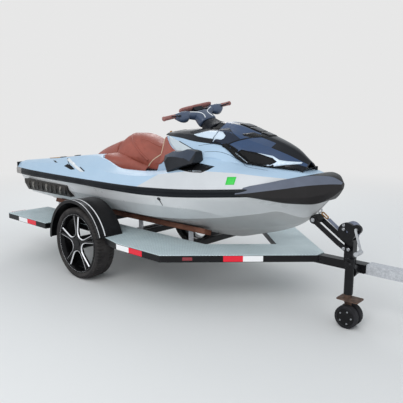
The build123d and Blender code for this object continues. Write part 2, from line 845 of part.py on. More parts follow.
# Winch: cheek plates on the post, the drum and its gear cover, the strap to the bow eye and the crank
winch_cheek = 6
winch_half = 42
winch_cover_depth = 22
winch_foot = 76
winch_shaft_radius = 9
crank_hub_x = winch_x + winch_pinion[0]
crank_hub_z = winch_z + winch_pinion[1]
crank_end_x = crank_hub_x + crank_reach[0]
crank_end_z = crank_hub_z + crank_reach[1]
crank_hub_y = -(winch_half + winch_cheek + winch_cover_depth + 2 * seat_gap)
crank_y = crank_hub_y - 14
with BuildPart() as winch_frame:
    for side, _ in SIDES:
        with BuildSketch(side_view(side * (winch_half + winch_cheek / 2))):
            with Locations((winch_x, winch_z)):
                Circle(winch_cheek_radius)
            with Locations((winch_x, (winch_z + stand_top) / 2)):
                Rectangle(winch_foot, winch_z - stand_top)
            with Locations((winch_x, winch_z)):
                Circle(winch_shaft_radius + seat_gap, mode=Mode.SUBTRACT)
        extrude(amount=winch_cheek / 2, both=True)
    with BuildSketch(level(stand_top)):
        with Locations((winch_x, 0)):
            Rectangle(winch_foot, 2 * winch_half)
    extrude(amount=winch_cheek)
    with BuildSketch(side_view(-(winch_half + winch_cheek))):
        with Locations((winch_x, winch_z)):
            Circle(winch_cover_radius)
        with BuildLine():
            Line((winch_x, winch_z), (crank_hub_x, crank_hub_z))
        trace(line_width=64)
        with Locations((crank_hub_x, crank_hub_z)):
            Circle(32)
        with Locations((winch_x, winch_z)):
            Circle(winch_shaft_radius + seat_gap, mode=Mode.SUBTRACT)
    extrude(amount=winch_cover_depth)
save(winch_frame.part, "winch_frame")

with BuildPart() as winch_drum:
    with BuildSketch(side_view(winch_half - 1)):
        with Locations((winch_x, winch_z)):
            Circle(winch_wound_radius)
    extrude(amount=2 * winch_half - 2)
    with BuildSketch(side_view(winch_half + winch_cheek + 8)):
        with Locations((winch_x, winch_z)):
            Circle(winch_shaft_radius)
    extrude(amount=2 * winch_half + 2 * winch_cheek + 16 + 2)
save(winch_drum.part, "winch_drum")

with BuildPart() as winch_crank:
    with BuildSketch(side_view(crank_hub_y)):
        with Locations((crank_hub_x, crank_hub_z)):
            Circle(10)
    extrude(amount=crank_hub_y - crank_y)
    with BuildSketch(side_view(crank_y)):
        with BuildLine():
            Line((crank_hub_x, crank_hub_z), (crank_end_x, crank_end_z))
        trace(line_width=16)
    extrude(amount=6)
    with BuildSketch(side_view(crank_y)):
        with Locations((crank_end_x, crank_end_z)):
            Circle(15)
    extrude(amount=84)
save(winch_crank.part, "winch_crank")

strap_width = 46
strap_thickness = 3
eye_z = 728
eye_rod = 5
eye_radius = 17
stem_slope = (stem_high.x - stem_low.x) / (stem_high.keel - stem_low.keel)
eye_x = stem_low.x + (eye_z - stem_low.keel) * stem_slope
drum_run = hypot(winch_x - eye_x, eye_z - winch_z)
strap_lay = winch_wound_radius + seat_gap + strap_thickness / 2
strap_fall = atan2(eye_z - winch_z, winch_x - eye_x) + asin(strap_lay / drum_run)
strap_end = (drum_run**2 - strap_lay**2) ** 0.5
hook_start = eye_radius + eye_rod + seat_gap
hook_length = 66
strap_start = hook_start + hook_length + seat_gap


def along_strap(y):
    """The plane through the bow eye with local x down the strap to the drum, local y square above it."""
    down = Vector(cos(strap_fall), 0, -sin(strap_fall))
    return Plane(origin=(axle_x + eye_x, y, eye_z), x_dir=down, z_dir=(0, -1, 0))


with BuildPart() as winch_strap:
    with BuildSketch(along_strap(strap_width / 2)):
        with Locations(((strap_start + strap_end) / 2, 0)):
            Rectangle(strap_end - strap_start, strap_thickness)
    extrude(amount=strap_width)
save(winch_strap.part, "winch_strap")

# Eyes: the bow eye on the stem, which the hook holds, and the two stern eyes on the transom
stern_eye_y = 330
stern_eye_z = 700
with BuildPart() as tow_eyes:
    with BuildSketch(side_view(eye_rod)):
        with Locations((eye_x, eye_z)):
            Circle(eye_radius + eye_rod)
            Circle(eye_radius - eye_rod, mode=Mode.SUBTRACT)
    extrude(amount=2 * eye_rod)
    for side, _ in SIDES:
        with BuildSketch(side_view(side * stern_eye_y + eye_rod)):
            with Locations((transom_x, stern_eye_z)):
                Circle(eye_radius + eye_rod)
                Circle(eye_radius - eye_rod, mode=Mode.SUBTRACT)
        extrude(amount=2 * eye_rod)
    add(hull.part, mode=Mode.SUBTRACT)
save(tow_eyes.part, "tow_eyes")

with BuildPart() as bow_hook:
    with BuildSketch(along_strap(eye_rod)):
        with Locations((hook_start + hook_length / 2, 0)):
            SlotOverall(hook_length, 26)
            SlotOverall(hook_length - 18, 10, mode=Mode.SUBTRACT)
    extrude(amount=2 * eye_rod)
save(bow_hook.part, "bow_hook")

# Jack: a swivel bracket on the tongue's side, the outer tube, the leg with its foot plate, and the caster
bracket_depth = -jack_y - tongue_width / 2 - jack_tube_radius
with BuildPart() as jack_bracket:
    with BuildSketch(side_view(-tongue_width / 2)):
        with Locations((jack_x, (tongue_top + tongue_bottom) / 2)):
            Rectangle(120, tongue_height)
    extrude(amount=8)
    with BuildSketch(side_view(-tongue_width / 2 - 8)):
        with Locations((jack_x, jack_pivot_z)):
            Circle(34)
    extrude(amount=bracket_depth - 8 - 10)
save(jack_bracket.part, "jack_bracket")

with BuildPart() as jack_tube:
    with BuildSketch(level(jack_tube_bottom)):
        with Locations((jack_x, jack_y)):
            Circle(jack_tube_radius)
    extrude(amount=jack_top - jack_tube_bottom)
    with BuildSketch(side_view(-tongue_width / 2 - bracket_depth + 10 - seat_gap)):
        with Locations((jack_x, jack_pivot_z)):
            Circle(38)
    extrude(amount=20)
    with BuildSketch(level(jack_tube_bottom)):
        with Locations((jack_x, jack_y)):
            Circle(jack_inner_radius + running_gap)
    extrude(amount=jack_top - jack_tube_bottom - 12, mode=Mode.SUBTRACT)
    with BuildSketch(side_view(jack_y - jack_tube_radius + 4)):
        with Locations((jack_x, jack_top - 34)):
            Circle(20)
    extrude(amount=26)
save(jack_tube.part, "jack_tube")

leg_top = jack_top - 60
with BuildPart() as jack_leg:
    with BuildSketch(level(foot_plate_z + foot_plate_thickness)):
        with Locations((jack_x, jack_y)):
            Circle(jack_inner_radius)
    extrude(amount=leg_top - foot_plate_z - foot_plate_thickness)
    with BuildSketch(level(foot_plate_z)):
        with Locations((jack_x + 15, jack_y)):
            Rectangle(150, 110)
    extrude(amount=foot_plate_thickness)
    fillet(jack_leg.edges().filter_by(Axis.Z).group_by(Axis.Z)[0], 12)
save(jack_leg.part, "jack_leg")

caster_x = jack_x + caster_trail
fork_top = foot_plate_z - seat_gap
fork_half = caster_gap / 2 - panel_gap
with BuildPart() as caster_fork:
    with BuildSketch(level(fork_top - 10)):
        with Locations((jack_x, jack_y)):
            Circle(32)
    extrude(amount=10)
    with BuildSketch(side_view(jack_y + fork_half)):
        Polygon(
            (jack_x - 26, fork_top - 10),
            (jack_x + 26, fork_top - 10),
            (caster_x + 14, caster_radius),
            (caster_x, caster_radius - 14),
            (caster_x - 14, caster_radius),
            align=None,
        )
    extrude(amount=2 * fork_half)
    with BuildSketch(side_view(jack_y + caster_gap / 2 + caster_width)):
        with Locations((caster_x, caster_radius)):
            Circle(8)
    extrude(amount=caster_gap + 2 * caster_width)
save(caster_fork.part, "caster_fork")

with BuildPart() as caster_wheels:
    for start in (caster_gap / 2 + caster_width, -caster_gap / 2):
        with BuildSketch(side_view(jack_y + start)):
            with Locations((caster_x, caster_radius)):
                Circle(caster_radius)
                Circle(8 + running_gap, mode=Mode.SUBTRACT)
        extrude(amount=caster_width)
    fillet(caster_wheels.edges().filter_by(GeomType.CIRCLE).group_by(SortBy.RADIUS)[-1], 9)
save(caster_wheels.part, "caster_wheels")

# Steering: everything on the bar turns about the leaning column, at rest a little to starboard
def eight_sided(width, height, corner):
    """The points of a rectangle with its corners cut off."""
    w, h = width / 2, height / 2
    right = [(w - corner, -h), (w, corner - h), (w, h - corner), (w - corner, h)]
    return right + [(-x, y) for x, y in reversed(right)]


with BuildPart() as steering_neck:
    for height, width, depth in ((neck_foot, 96, 96), (-60, 122, 92), (neck_top, 152, 76)):
        with BuildSketch(on_column(height)):
            Polygon(*eight_sided(width, depth, 26), align=None)
    loft(ruled=True)
    with BuildSketch(on_column(column_foot)):
        Circle(column_radius)
    extrude(amount=neck_foot - column_foot + 1)
save(steering_neck.part, "steering_neck")

pad_foot = 26
with BuildPart() as handlebar:
    with BuildSketch(along_bar(-bar_half)):
        Circle(bar_radius)
    extrude(amount=2 * bar_half)
    with BuildSketch(on_column(neck_top)):
        Rectangle(90, 50)
    extrude(amount=pad_foot - seat_gap - neck_top)
save(handlebar.part, "handlebar")

grip_inner = bar_half - grip_length
with BuildPart() as grips:
    for side, _ in SIDES:
        with BuildSketch(along_bar(side * grip_inner)):
            Circle(grip_radius)
            Circle(bar_radius + seat_gap, mode=Mode.SUBTRACT)
        extrude(amount=side * (grip_length + 2))
        with BuildSketch(along_bar(side * (bar_half + 2))):
            Circle(grip_radius + 3)
        extrude(amount=side * 8)
save(grips.part, "grips")

with BuildPart() as bar_pad:
    with BuildSketch(on_column(pad_foot)):
        Rectangle(330, 74)
    with BuildSketch(on_column(pad_foot + 32)):
        Rectangle(270, 46)
    loft(ruled=True)
save(bar_pad.part, "bar_pad")

housing_inner = 100
with BuildPart() as bar_housings:
    for side, _ in SIDES:
        with BuildSketch(along_bar(side * housing_inner)):
            Rectangle(88, 46)
            Circle(bar_radius + seat_gap, mode=Mode.SUBTRACT)
        extrude(amount=side * (grip_inner - housing_inner - 1))
save(bar_housings.part, "bar_housings")

# Console: the dark cover between the seat and the instruments, on the flat top of the cowl
ConsoleStation = namedtuple("ConsoleStation", "x half_y base_z shoulder_y shoulder_z top_z")
console_front_x = 1040
console_stations = [
    ConsoleStation(console_rear_x, 158, 1220, 120, 1238, 1242),
    ConsoleStation(650, 248, 1215, 190, 1262, 1272),
    ConsoleStation(900, 287, 1188, 200, 1270, 1282),
    ConsoleStation(console_front_x, 277, 1178, 190, 1262, 1285),
]
with BuildPart() as console:
    console_sections = []
    for c in console_stations:
        half = [(0, c.base_z), (c.half_y, c.base_z), (c.shoulder_y, c.shoulder_z)]
        half += [(c.shoulder_y / 2, c.top_z), (0, c.top_z)]
        console_sections.append(outline(cross(c.x), mirrored(half)))
    loft(console_sections, ruled=True)
    with BuildSketch(on_column(column_foot + 20)):
        Circle(collar_radius)
    extrude(amount=collar_top - column_foot - 20)
    with BuildSketch(on_column(column_foot - 1)):
        Circle(column_radius + seat_gap)
    extrude(amount=neck_foot - column_foot, mode=Mode.SUBTRACT)
save(console.part, "console")

# Instruments and front hatch: one cover over the bow bin, hinged at its nose
HoodStation = namedtuple("HoodStation", "x half_y foot_z mid_y mid_z ridge_z")
hood_stations = [
    HoodStation(console_front_x + panel_gap, 262, 1184, 205, 1268, 1338),
    HoodStation(1160, 258, 1173, 195, 1262, 1322),
    HoodStation(1300, 258, 1064, 182, 1215, 1278),
    HoodStation(1500, 212, 1036, 150, 1158, 1211),
    HoodStation(1650, 138, 1022, 96, 1098, 1143),
    HoodStation(1740, 76, 1012, 50, 1050, 1062),
]
hood_wall = 18
hinge_x, hinge_z = 1731, 1018
hinge_pin = 5
hinge_ear_y = 102


def hood_section(h, inset):
    foot = -120 if inset else 0
    half = [
        (0, h.foot_z + foot),
        (h.half_y - inset, h.foot_z + foot),
        (h.mid_y - inset, h.mid_z - inset),
        (0, h.ridge_z - inset),
    ]
    return outline(cross(h.x + (inset if h is hood_stations[0] else 0)), mirrored(half)[: 2 * len(half) - 2])


with BuildPart() as hood:
    loft([hood_section(h, 0) for h in hood_stations], ruled=True)
    loft([hood_section(h, hood_wall) for h in hood_stations[:-1]], ruled=True, mode=Mode.SUBTRACT)
    with BuildSketch(side_view(200)):
        with Locations((hinge_x, hinge_z)):
            Circle(hinge_pin + seat_gap)
    extrude(amount=400, mode=Mode.SUBTRACT)
save(hood.part, "hood")

with BuildPart() as hood_hinge:
    with BuildSketch(side_view(hinge_ear_y + 4)):
        with Locations((hinge_x, hinge_z)):
            Circle(hinge_pin)
    extrude(amount=2 * hinge_ear_y + 8)
    for side, _ in SIDES:
        with BuildSketch(side_view(side * hinge_ear_y)):
            with Locations((hinge_x, hinge_z - 6)):
                Rectangle(22, 30)
        extrude(amount=4, both=True)
    add(deck.part, mode=Mode.SUBTRACT)
save(hood_hinge.part, "hood_hinge")

# Display: the hooded instrument panel on the console, facing the rider
display_x = 905
display_half = 95
with BuildPart() as display:
    with BuildSketch(side_view(display_half)):
        with Locations((display_x, console_stations[2].top_z)):
            Polygon((0, -8), (112, -8), (112, 44), (84, 52), (34, 14), (0, 10), align=None)
    extrude(amount=2 * display_half)
    add(console.part, mode=Mode.SUBTRACT)
save(display.part, "display")

# Side pods: the dark moulded wings beside the knees, set into the cowl
pod_plan = [(694, 1062), (785, 1119), (960, 1136), (1038, 1106), (1018, 1036), (880, 980), (734, 943)]
pod_inner_y = 370
pod_depth = 80
with BuildPart() as side_pods:
    for side, _ in SIDES:
        with BuildSketch(side_view(side * pod_inner_y)):
            Polygon(*pod_plan, align=None)
        extrude(amount=-side * pod_depth, taper=14)
    add(deck.part, mode=Mode.SUBTRACT)
save(side_pods.part, "side_pods")

# Sponsons: the ribbed fins along the after hull sides
with BuildPart() as sponsons:
    for side, _ in SIDES:
        for x, proud in ((-1180, 12), (-420, 4)):
            fin = [(520, 630), (566 + proud, 628), (604 + proud, 700), (606 + proud, 742), (540, 742)]
            with BuildSketch(cross(x)):
                Polygon(*[(side * y, z) for y, z in fin], align=None)
        loft(ruled=True)
    add(hull.part, mode=Mode.SUBTRACT)
save(sponsons.part, "sponsons")

# Jet pump: the housing in the tunnel, the turning impeller, the steered nozzle and the reverse bucket
def turned(points, turn=0.0, about_x=0.0):
    """A ring turned about the shaft line, or about a line swung from it round an upright pivot at about_x.

    Each point is the distance forward of the pivot, then the radius.
    """
    ahead = Vector(cos(radians(turn)), sin(radians(turn)), 0)
    pivot = Vector(axle_x + about_x, 0, pump_z)
    with BuildPart() as ring:
        with BuildSketch(Plane(origin=pivot, x_dir=ahead, z_dir=ahead.cross(Vector(0, 0, 1)))):
            Polygon(*points, align=None)
        revolve(axis=Axis(pivot, ahead))
    return ring.part


vane_count = 5
stator_front_x = pump_rear_x + 46
with BuildPart() as pump_housing:
    with BuildSketch(cross(pump_rear_x)):
        with Locations((0, pump_z)):
            Circle(pump_radius)
            Circle(pump_bore, mode=Mode.SUBTRACT)
    extrude(amount=pump_front_x - pump_rear_x)
    with BuildSketch(cross(pump_front_x)):
        with Locations((0, pump_z)):
            Rectangle(2 * tunnel_half - 2 * seat_gap, 2 * pump_radius)
            Circle(pump_bore, mode=Mode.SUBTRACT)
    extrude(amount=tunnel_front_x - seat_gap - pump_front_x)
    with BuildSketch(cross(pump_rear_x)):
        with Locations((0, pump_z)):
            Circle(shaft_boss_radius)
            with PolarLocations(0, vane_count, start_angle=90):
                with Locations((pump_bore / 2, 0)):
                    Rectangle(pump_bore, 4)
            Circle(pump_bore + 1, mode=Mode.INTERSECT)
    extrude(amount=stator_front_x - pump_rear_x)
    with BuildSketch(cross(stator_front_x + 1)):
        with Locations((0, pump_z)):
            Circle(shaft_radius + running_gap)
    extrude(amount=-(stator_front_x - pump_rear_x - 10), mode=Mode.SUBTRACT)
    add(
        turned(
            [
                (pump_rear_x + 6, pump_radius),
                (pump_rear_x, pump_radius),
                (pump_rear_x, venturi_front_radius),
                (venturi_end_x, venturi_radius),
                (venturi_end_x, venturi_radius - venturi_wall),
                (pump_rear_x + 6, venturi_front_radius - venturi_wall),
            ]
        )
    )
    for up in (-1, 1):
        with BuildSketch(level(pump_z + up * ear_z - ear_thickness / 2)):
            with Locations(((pump_rear_x + nozzle_pivot_x - 14) / 2, 0)):
                Rectangle(pump_rear_x - nozzle_pivot_x + 14, 28)
            with Locations((nozzle_pivot_x, 0)):
                Circle(nozzle_pin_radius + running_gap, mode=Mode.SUBTRACT)
        extrude(amount=ear_thickness)
    for side, _ in SIDES:
        with BuildSketch(side_view(side * (pump_radius - 6))):
            with Locations((bucket_pivot_x, pump_z)):
                Circle(14)
        extrude(amount=-side * (bucket_in - seat_gap - pump_radius + 6))
        with BuildSketch(side_view(side * (pump_radius - 6))):
            with Locations((bucket_pivot_x, pump_z)):
                Circle(bucket_pin_radius)
        extrude(amount=-side * (bucket_in + bucket_sheet + 3 - pump_radius + 6))
save(pump_housing.part, "pump_housing")

impeller_x = (pump_front_x + stator_front_x) / 2
blade_count = 4
blade_tip = pump_bore - panel_gap
blade_pitch = radians(40)
with BuildPart() as impeller:
    with BuildSketch(cross(stator_front_x + seat_gap)):
        with Locations((0, pump_z)):
            Circle(shaft_boss_radius)
    extrude(amount=pump_front_x - stator_front_x)
    with BuildSketch(cross(pump_rear_x + 14)):
        with Locations((0, pump_z)):
            Circle(shaft_radius)
    extrude(amount=stator_front_x - pump_rear_x)
    for i in range(blade_count):
        angle = 2 * pi * i / blade_count
        root = shaft_boss_radius - 3
        middle = (root + blade_tip) / 2
        blade = Plane(
            origin=(axle_x + impeller_x, middle * cos(angle), pump_z + middle * sin(angle)),
            x_dir=(0, cos(angle), sin(angle)),
            z_dir=(cos(blade_pitch), -sin(blade_pitch) * sin(angle), sin(blade_pitch) * cos(angle)),
        )
        with BuildSketch(blade):
            inner_end, outer_end = root - middle, blade_tip - middle
            Polygon((inner_end, -16), (outer_end, -30), (outer_end, 30), (inner_end, 16), align=None)
        extrude(amount=1.5, both=True)
save(impeller.part, "impeller")

nozzle_front = 6
nozzle_length = nozzle_pivot_x - nozzle_end_x
nozzle_turn = -bar_turn_deg * nozzle_ratio
nozzle_front_radius = 70
nozzle_rear_radius = 52
nozzle_wall = 6


with BuildPart() as nozzle:
    add(
        turned(
            [
                (nozzle_front, nozzle_front_radius - nozzle_wall),
                (nozzle_front, nozzle_front_radius),
                (-nozzle_length, nozzle_rear_radius),
                (-nozzle_length, nozzle_rear_radius - nozzle_wall),
            ],
            nozzle_turn,
            nozzle_pivot_x,
        )
    )
    for up in (-1, 1):
        pin_foot = nozzle_front_radius - nozzle_wall / 2
        with BuildSketch(level(pump_z + up * pin_foot)):
            with Locations((nozzle_pivot_x, 0)):
                Circle(nozzle_pin_radius)
        extrude(amount=up * (ear_z + ear_thickness / 2 - pin_foot))
save(nozzle.part, "steering_nozzle")

bucket_rest = (40, 100)
with BuildPart() as bucket:
    reach = bucket_radius
    aft, up_end = (radians(180 - angle) for angle in bucket_rest)
    middle = (aft + up_end) / 2

    def bucket_point(radius, angle):
        return (bucket_pivot_x + radius * cos(angle), pump_z + radius * sin(angle))

    for side, _ in SIDES:
        with BuildSketch(side_view(side * bucket_in)):
            heel = bucket_point(14, aft + pi / 2)
            with BuildLine():
                ThreePointArc(*(bucket_point(reach, angle) for angle in (aft, middle, up_end)))
                Polyline(bucket_point(reach, up_end), (bucket_pivot_x + 14, pump_z), heel)
                Line(heel, bucket_point(reach, aft))
            make_face()
            with Locations((bucket_pivot_x, pump_z)):
                Circle(20)
                Circle(bucket_pin_radius + running_gap, mode=Mode.SUBTRACT)
        extrude(amount=-side * bucket_sheet)
    with BuildSketch(side_view(bucket_in + bucket_sheet)):
        with BuildLine():
            ThreePointArc(*(bucket_point(reach, angle) for angle in (aft, middle, up_end)))
            Line(bucket_point(reach, up_end), bucket_point(reach - bucket_sheet, up_end))
            ThreePointArc(*(bucket_point(reach - bucket_sheet, angle) for angle in (up_end, middle, aft)))
            Line(bucket_point(reach - bucket_sheet, aft), bucket_point(reach, aft))
        make_face()
    extrude(amount=2 * (bucket_in + bucket_sheet))
save(bucket.part, "reverse_bucket")

with BuildPart() as ride_plate:
    with BuildSketch(level(keel_z + 8)):
        with Locations(((pump_rear_x - 40 + tunnel_front_x) / 2, 0)):
            Rectangle(tunnel_front_x - pump_rear_x + 40, 2 * tunnel_half - 2 * seat_gap)
    extrude(amount=10)
    with BuildSketch(level(keel_z + 18)):
        with Locations(((pump_front_x + tunnel_front_x - seat_gap) / 2, 0)):
            Rectangle(tunnel_front_x - seat_gap - pump_front_x, 2 * tunnel_half - 2 * seat_gap)
    extrude(amount=pump_z - pump_radius - keel_z - 18 - seat_gap)
save(ride_plate.part, "ride_plate")

# Tail lamps: the two red lamps on the frame's after ends
lamp_depth = 28
with BuildPart() as tail_lamps:
    for side, _ in SIDES:
        with BuildSketch(level(frame_bottom + 4)):
            with Locations((deck_rear_x - seat_gap - lamp_depth / 2, side * (deck_half - 120))):
                Rectangle(lamp_depth, 150)
        extrude(amount=rail_depth)
save(tail_lamps.part, "tail_lamps")
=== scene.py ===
"""A three-seat personal watercraft on its single-axle trailer, dressed piece by piece in metres.

Lengthwise places are counted from the wheel axle, as on a lines plan, and at() carries them into the frame.
"""

import math

import bmesh
import bpy
from mathutils import Matrix, Vector
from mathutils.bvhtree import BVHTree


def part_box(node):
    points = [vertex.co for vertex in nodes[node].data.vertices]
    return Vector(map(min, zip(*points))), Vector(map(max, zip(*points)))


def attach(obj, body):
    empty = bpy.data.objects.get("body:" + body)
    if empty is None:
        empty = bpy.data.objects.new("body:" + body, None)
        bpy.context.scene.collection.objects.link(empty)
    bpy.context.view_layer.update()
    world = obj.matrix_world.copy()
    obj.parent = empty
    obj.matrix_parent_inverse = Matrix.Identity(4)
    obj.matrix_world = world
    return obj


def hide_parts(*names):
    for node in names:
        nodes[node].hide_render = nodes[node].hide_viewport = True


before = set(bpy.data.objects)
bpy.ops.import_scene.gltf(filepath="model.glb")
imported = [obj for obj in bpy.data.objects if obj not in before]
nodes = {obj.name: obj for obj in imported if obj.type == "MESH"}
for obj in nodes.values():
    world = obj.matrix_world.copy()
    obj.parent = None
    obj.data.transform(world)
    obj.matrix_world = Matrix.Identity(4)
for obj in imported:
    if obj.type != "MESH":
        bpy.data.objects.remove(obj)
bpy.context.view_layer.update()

# Camera: a standing person's eye ahead of the starboard bow, with the lens fitted to the wheel, the deck's
# corners and the craft's known length.
axle_x = sum(corner.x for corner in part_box("tyre_port")) / 2
camera_data = bpy.data.cameras.new("camera")
camera_data.sensor_width = 36.0
camera_data.lens = 43.1
camera = bpy.data.objects.new("camera", camera_data)
turn, pitch, roll = 0.7297, 0.1777, 0.0047
lean = math.pi / 2 - pitch
camera_turn = Matrix.Rotation(turn, 4, "Z") @ Matrix.Rotation(lean, 4, "X") @ Matrix.Rotation(roll, 4, "Z")
camera.matrix_world = Matrix.Translation((3.4433 + axle_x, -3.0645, 1.3898)) @ camera_turn
bpy.context.scene.collection.objects.link(camera)
bpy.context.scene.camera = camera
bpy.context.scene.view_settings.view_transform = "Standard"

# Floor and light: a pale seamless floor under one large soft lamp, a weaker one behind and an even sky, so
# that a colour renders about as it is written.
def wired(tree, kind, feeds=None, **settings):
    """A shader node set into a tree, with a value or a feeding socket for each input that is named."""
    part = tree.nodes.new("ShaderNode" + kind)
    for label, value in settings.items():
        setattr(part, label, value)
    for label, value in (feeds or {}).items():
        if isinstance(value, bpy.types.NodeSocket):
            tree.links.new(value, part.inputs[label])
        else:
            part.inputs[label].default_value = value
    return part


pale = (0.80, 0.80, 0.80, 1)
sky = bpy.data.worlds.new("sky")
sky.use_nodes = True
sky_tree = sky.node_tree
sky_tree.nodes.clear()
sky_path = wired(sky_tree, "LightPath")
sky_bright = wired(sky_tree, "Background", {"Color": pale})
sky_soft = wired(sky_tree, "Background", {"Color": (0.90, 0.95, 1.0, 1), "Strength": 0.72})
sky_mix = wired(
    sky_tree, "MixShader",
    {0: sky_path.outputs["Is Camera Ray"], 1: sky_soft.outputs[0], 2: sky_bright.outputs[0]},
)
wired(sky_tree, "OutputWorld", {"Surface": sky_mix.outputs[0]})
bpy.context.scene.world = sky


def soft_lamp(name, place, aim, size, watts):
    """A round area lamp at a place, turned to a point."""
    data = bpy.data.lights.new(name, "AREA")
    data.shape = "DISK"
    data.size = size
    data.energy = watts
    lamp = bpy.data.objects.new(name, data)
    lamp.location = place
    lamp.rotation_euler = (Vector(aim) - Vector(place)).to_track_quat("-Z", "Y").to_euler()
    bpy.context.scene.collection.objects.link(lamp)


soft_lamp("key_lamp", (2.5, -6.5, 5.0), (0, 0, 0.6), 5.0, 230)
soft_lamp("back_lamp", (-4.5, 4.0, 4.5), (0, 0, 0.8), 4.0, 110)


def made(name, mesh_data, body="root"):
    """A linked object for a mesh or curve, riding on a body."""
    piece = bpy.data.objects.new(name, mesh_data)
    bpy.context.scene.collection.objects.link(piece)
    if body:
        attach(piece, body)
    return piece


floor_mesh = bpy.data.meshes.new("floor")
reach = 40.0
floor_corners = [(-reach, -reach, 0), (reach, -reach, 0), (reach, reach, 0), (-reach, reach, 0)]
floor_mesh.from_pydata(floor_corners, [], [(0, 1, 2, 3)])
floor = made("floor", floor_mesh, None)
floor_paint = bpy.data.materials.new("floor_paint")
floor_paint.use_nodes = True
floor_tree = floor_paint.node_tree
floor_shader = floor_tree.nodes["Principled BSDF"]
floor_shader.inputs["Base Color"].default_value = (0.80, 0.80, 0.79, 1)
floor_shader.inputs["Roughness"].default_value = 0.85
floor_place = wired(floor_tree, "TexCoord")
floor_away = wired(floor_tree, "VectorMath", {0: floor_place.outputs["Object"]}, operation="LENGTH")
floor_fade = wired(
    floor_tree, "MapRange", {"Value": floor_away.outputs["Value"], "From Min": 2.5, "From Max": 9.0},
    interpolation_type="SMOOTHSTEP",
)
floor_far = wired(floor_tree, "Emission", {"Color": pale})
floor_mix = wired(
    floor_tree, "MixShader",
    {0: floor_fade.outputs["Result"], 1: floor_shader.outputs[0], 2: floor_far.outputs[0]},
)
floor_tree.links.new(floor_mix.outputs[0], floor_tree.nodes["Material Output"].inputs["Surface"])
floor_mesh.materials.append(floor_paint)


# Hull: the lower shell of laminated plastic with a silver-grey gelcoat, moulded with a hard chine, a side
# crease that dies into it ahead of the saddle, and a second crease that runs from the rail down to the stem.
def at(x, y, z):
    """A point counted from the wheel axle, in the frame."""
    return Vector((axle_x + x, y, z))


def fair(line, x):
    """Half width and height of a line at x, eased through its knots without swinging past them."""
    if x <= line[0][0]:
        return line[0][1:]
    if x >= line[-1][0]:
        return line[-1][1:]
    i = max(j for j in range(len(line) - 1) if line[j][0] <= x)
    run = line[i + 1][0] - line[i][0]
    t = (x - line[i][0]) / run

    def slope(j, axis):
        a, b = max(j - 1, 0), min(j + 1, len(line) - 1)
        before = (line[j][axis] - line[a][axis]) / (line[j][0] - line[a][0]) if j > a else None
        after = (line[b][axis] - line[j][axis]) / (line[b][0] - line[j][0]) if b > j else None
        if before is None or after is None:
            return after if before is None else before
        return 0.0 if before * after <= 0 else 2 * before * after / (before + after)

    return tuple(
        (2 * t**3 - 3 * t**2 + 1) * line[i][axis]
        + (t**3 - 2 * t**2 + t) * run * slope(i, axis)
        + (3 * t**2 - 2 * t**3) * line[i + 1][axis]
        + (t**3 - t**2) * run * slope(i + 1, axis)
        for axis in (1, 2)
    )


def spaced(start, end, step, extra=()):
    """Stations from start to end, about a step apart, with any extra ones let in."""
    count = max(1, round((end - start) / step))
    even = [start + (end - start) * i / count for i in range(count + 1)]
    keep = [x for x in even if all(abs(x - e) > step / 3 or x in (start, end) for e in extra)]
    return sorted(set(keep) | set(extra))


def solid(name, shape, *finishes, body="root", slot=None):
    """A piece cast from a worked mesh, with its materials in order."""
    mesh = bpy.data.meshes.new(name)
    shape.to_mesh(mesh)
    shape.free()
    for finish in finishes:
        mesh.materials.append(finish)
    piece = made(name, mesh, body)
    return piece


def shell(
    name, row_at, stations, creases=None, finish_at=None, open_at=None, caps=(), levels=2, body="root",
    notched=False,
):
    """A skin over both sides of the craft from half sections, softened between its creases."""
    cage = bmesh.new()
    crease = cage.edges.layers.float.new("crease_edge")
    halves = {-1: [], 1: []}
    for x in stations:
        port = [cage.verts.new(at(x, y, z)) for y, z in row_at(x)]
        starboard = [v if abs(v.co.y) < 1e-6 else cage.verts.new((v.co.x, -v.co.y, v.co.z)) for v in port]
        halves[1].append(port)
        halves[-1].append(starboard)
    for rows in halves.values():
        for n, (near, far) in enumerate(zip(rows, rows[1:])):
            middle = (stations[n] + stations[n + 1]) / 2
            for i in range(len(near) - 1):
                if open_at and open_at(middle, i):
                    continue
                corners = list(dict.fromkeys((near[i], far[i], far[i + 1], near[i + 1])))
                if len(corners) < 3:
                    continue
                face = cage.faces.new(corners)
                face.material_index = finish_at(middle, i) if finish_at else 0
    for end in caps:
        port, starboard = halves[1][end], halves[-1][end]
        if abs(port[0].co.y) < 1e-6:
            rings = [port + [v for v in reversed(starboard) if v not in port]]
        else:
            rings = [port, starboard]
        for ring in rings:
            face = cage.faces.new(ring)
            face.material_index = finish_at(stations[end], 0) if finish_at else 0
            parts = [face]
            if notched:
                face.normal_update()
                parts = bmesh.ops.triangulate(cage, faces=[face], ngon_method="EAR_CLIP")["faces"]
            for edge in {edge for part in parts for edge in part.edges}:
                edge[crease] = 1.0
                edge.smooth = False
    for rows in halves.values():
        for near, far in zip(rows, rows[1:]):
            for i, weight in (creases or {}).items():
                edge = cage.edges.get((near[i], far[i])) if near[i] != far[i] else None
                if edge:
                    edge[crease] = weight
                    edge.smooth = weight < 0.7
    bmesh.ops.recalc_face_normals(cage, faces=cage.faces)
    for face in cage.faces:
        face.smooth = True
    piece = solid(name, cage, body=body)
    subdivision = piece.modifiers.new("fairing", "SUBSURF")
    subdivision.levels = subdivision.render_levels = levels
    return piece


def group_of(name, inputs, outputs):
    """A shader node group with named sockets, and its two end nodes."""
    group = bpy.data.node_groups.new(name, "ShaderNodeTree")
    for label, kind, value in inputs:
        socket = group.interface.new_socket(label, in_out="INPUT", socket_type=kind)
        socket.default_value = value
    for label, kind in outputs:
        group.interface.new_socket(label, in_out="OUTPUT", socket_type=kind)
    return group, group.nodes.new("NodeGroupInput"), group.nodes.new("NodeGroupOutput")


FLOAT, COLOUR = "NodeSocketFloat", "NodeSocketColor"

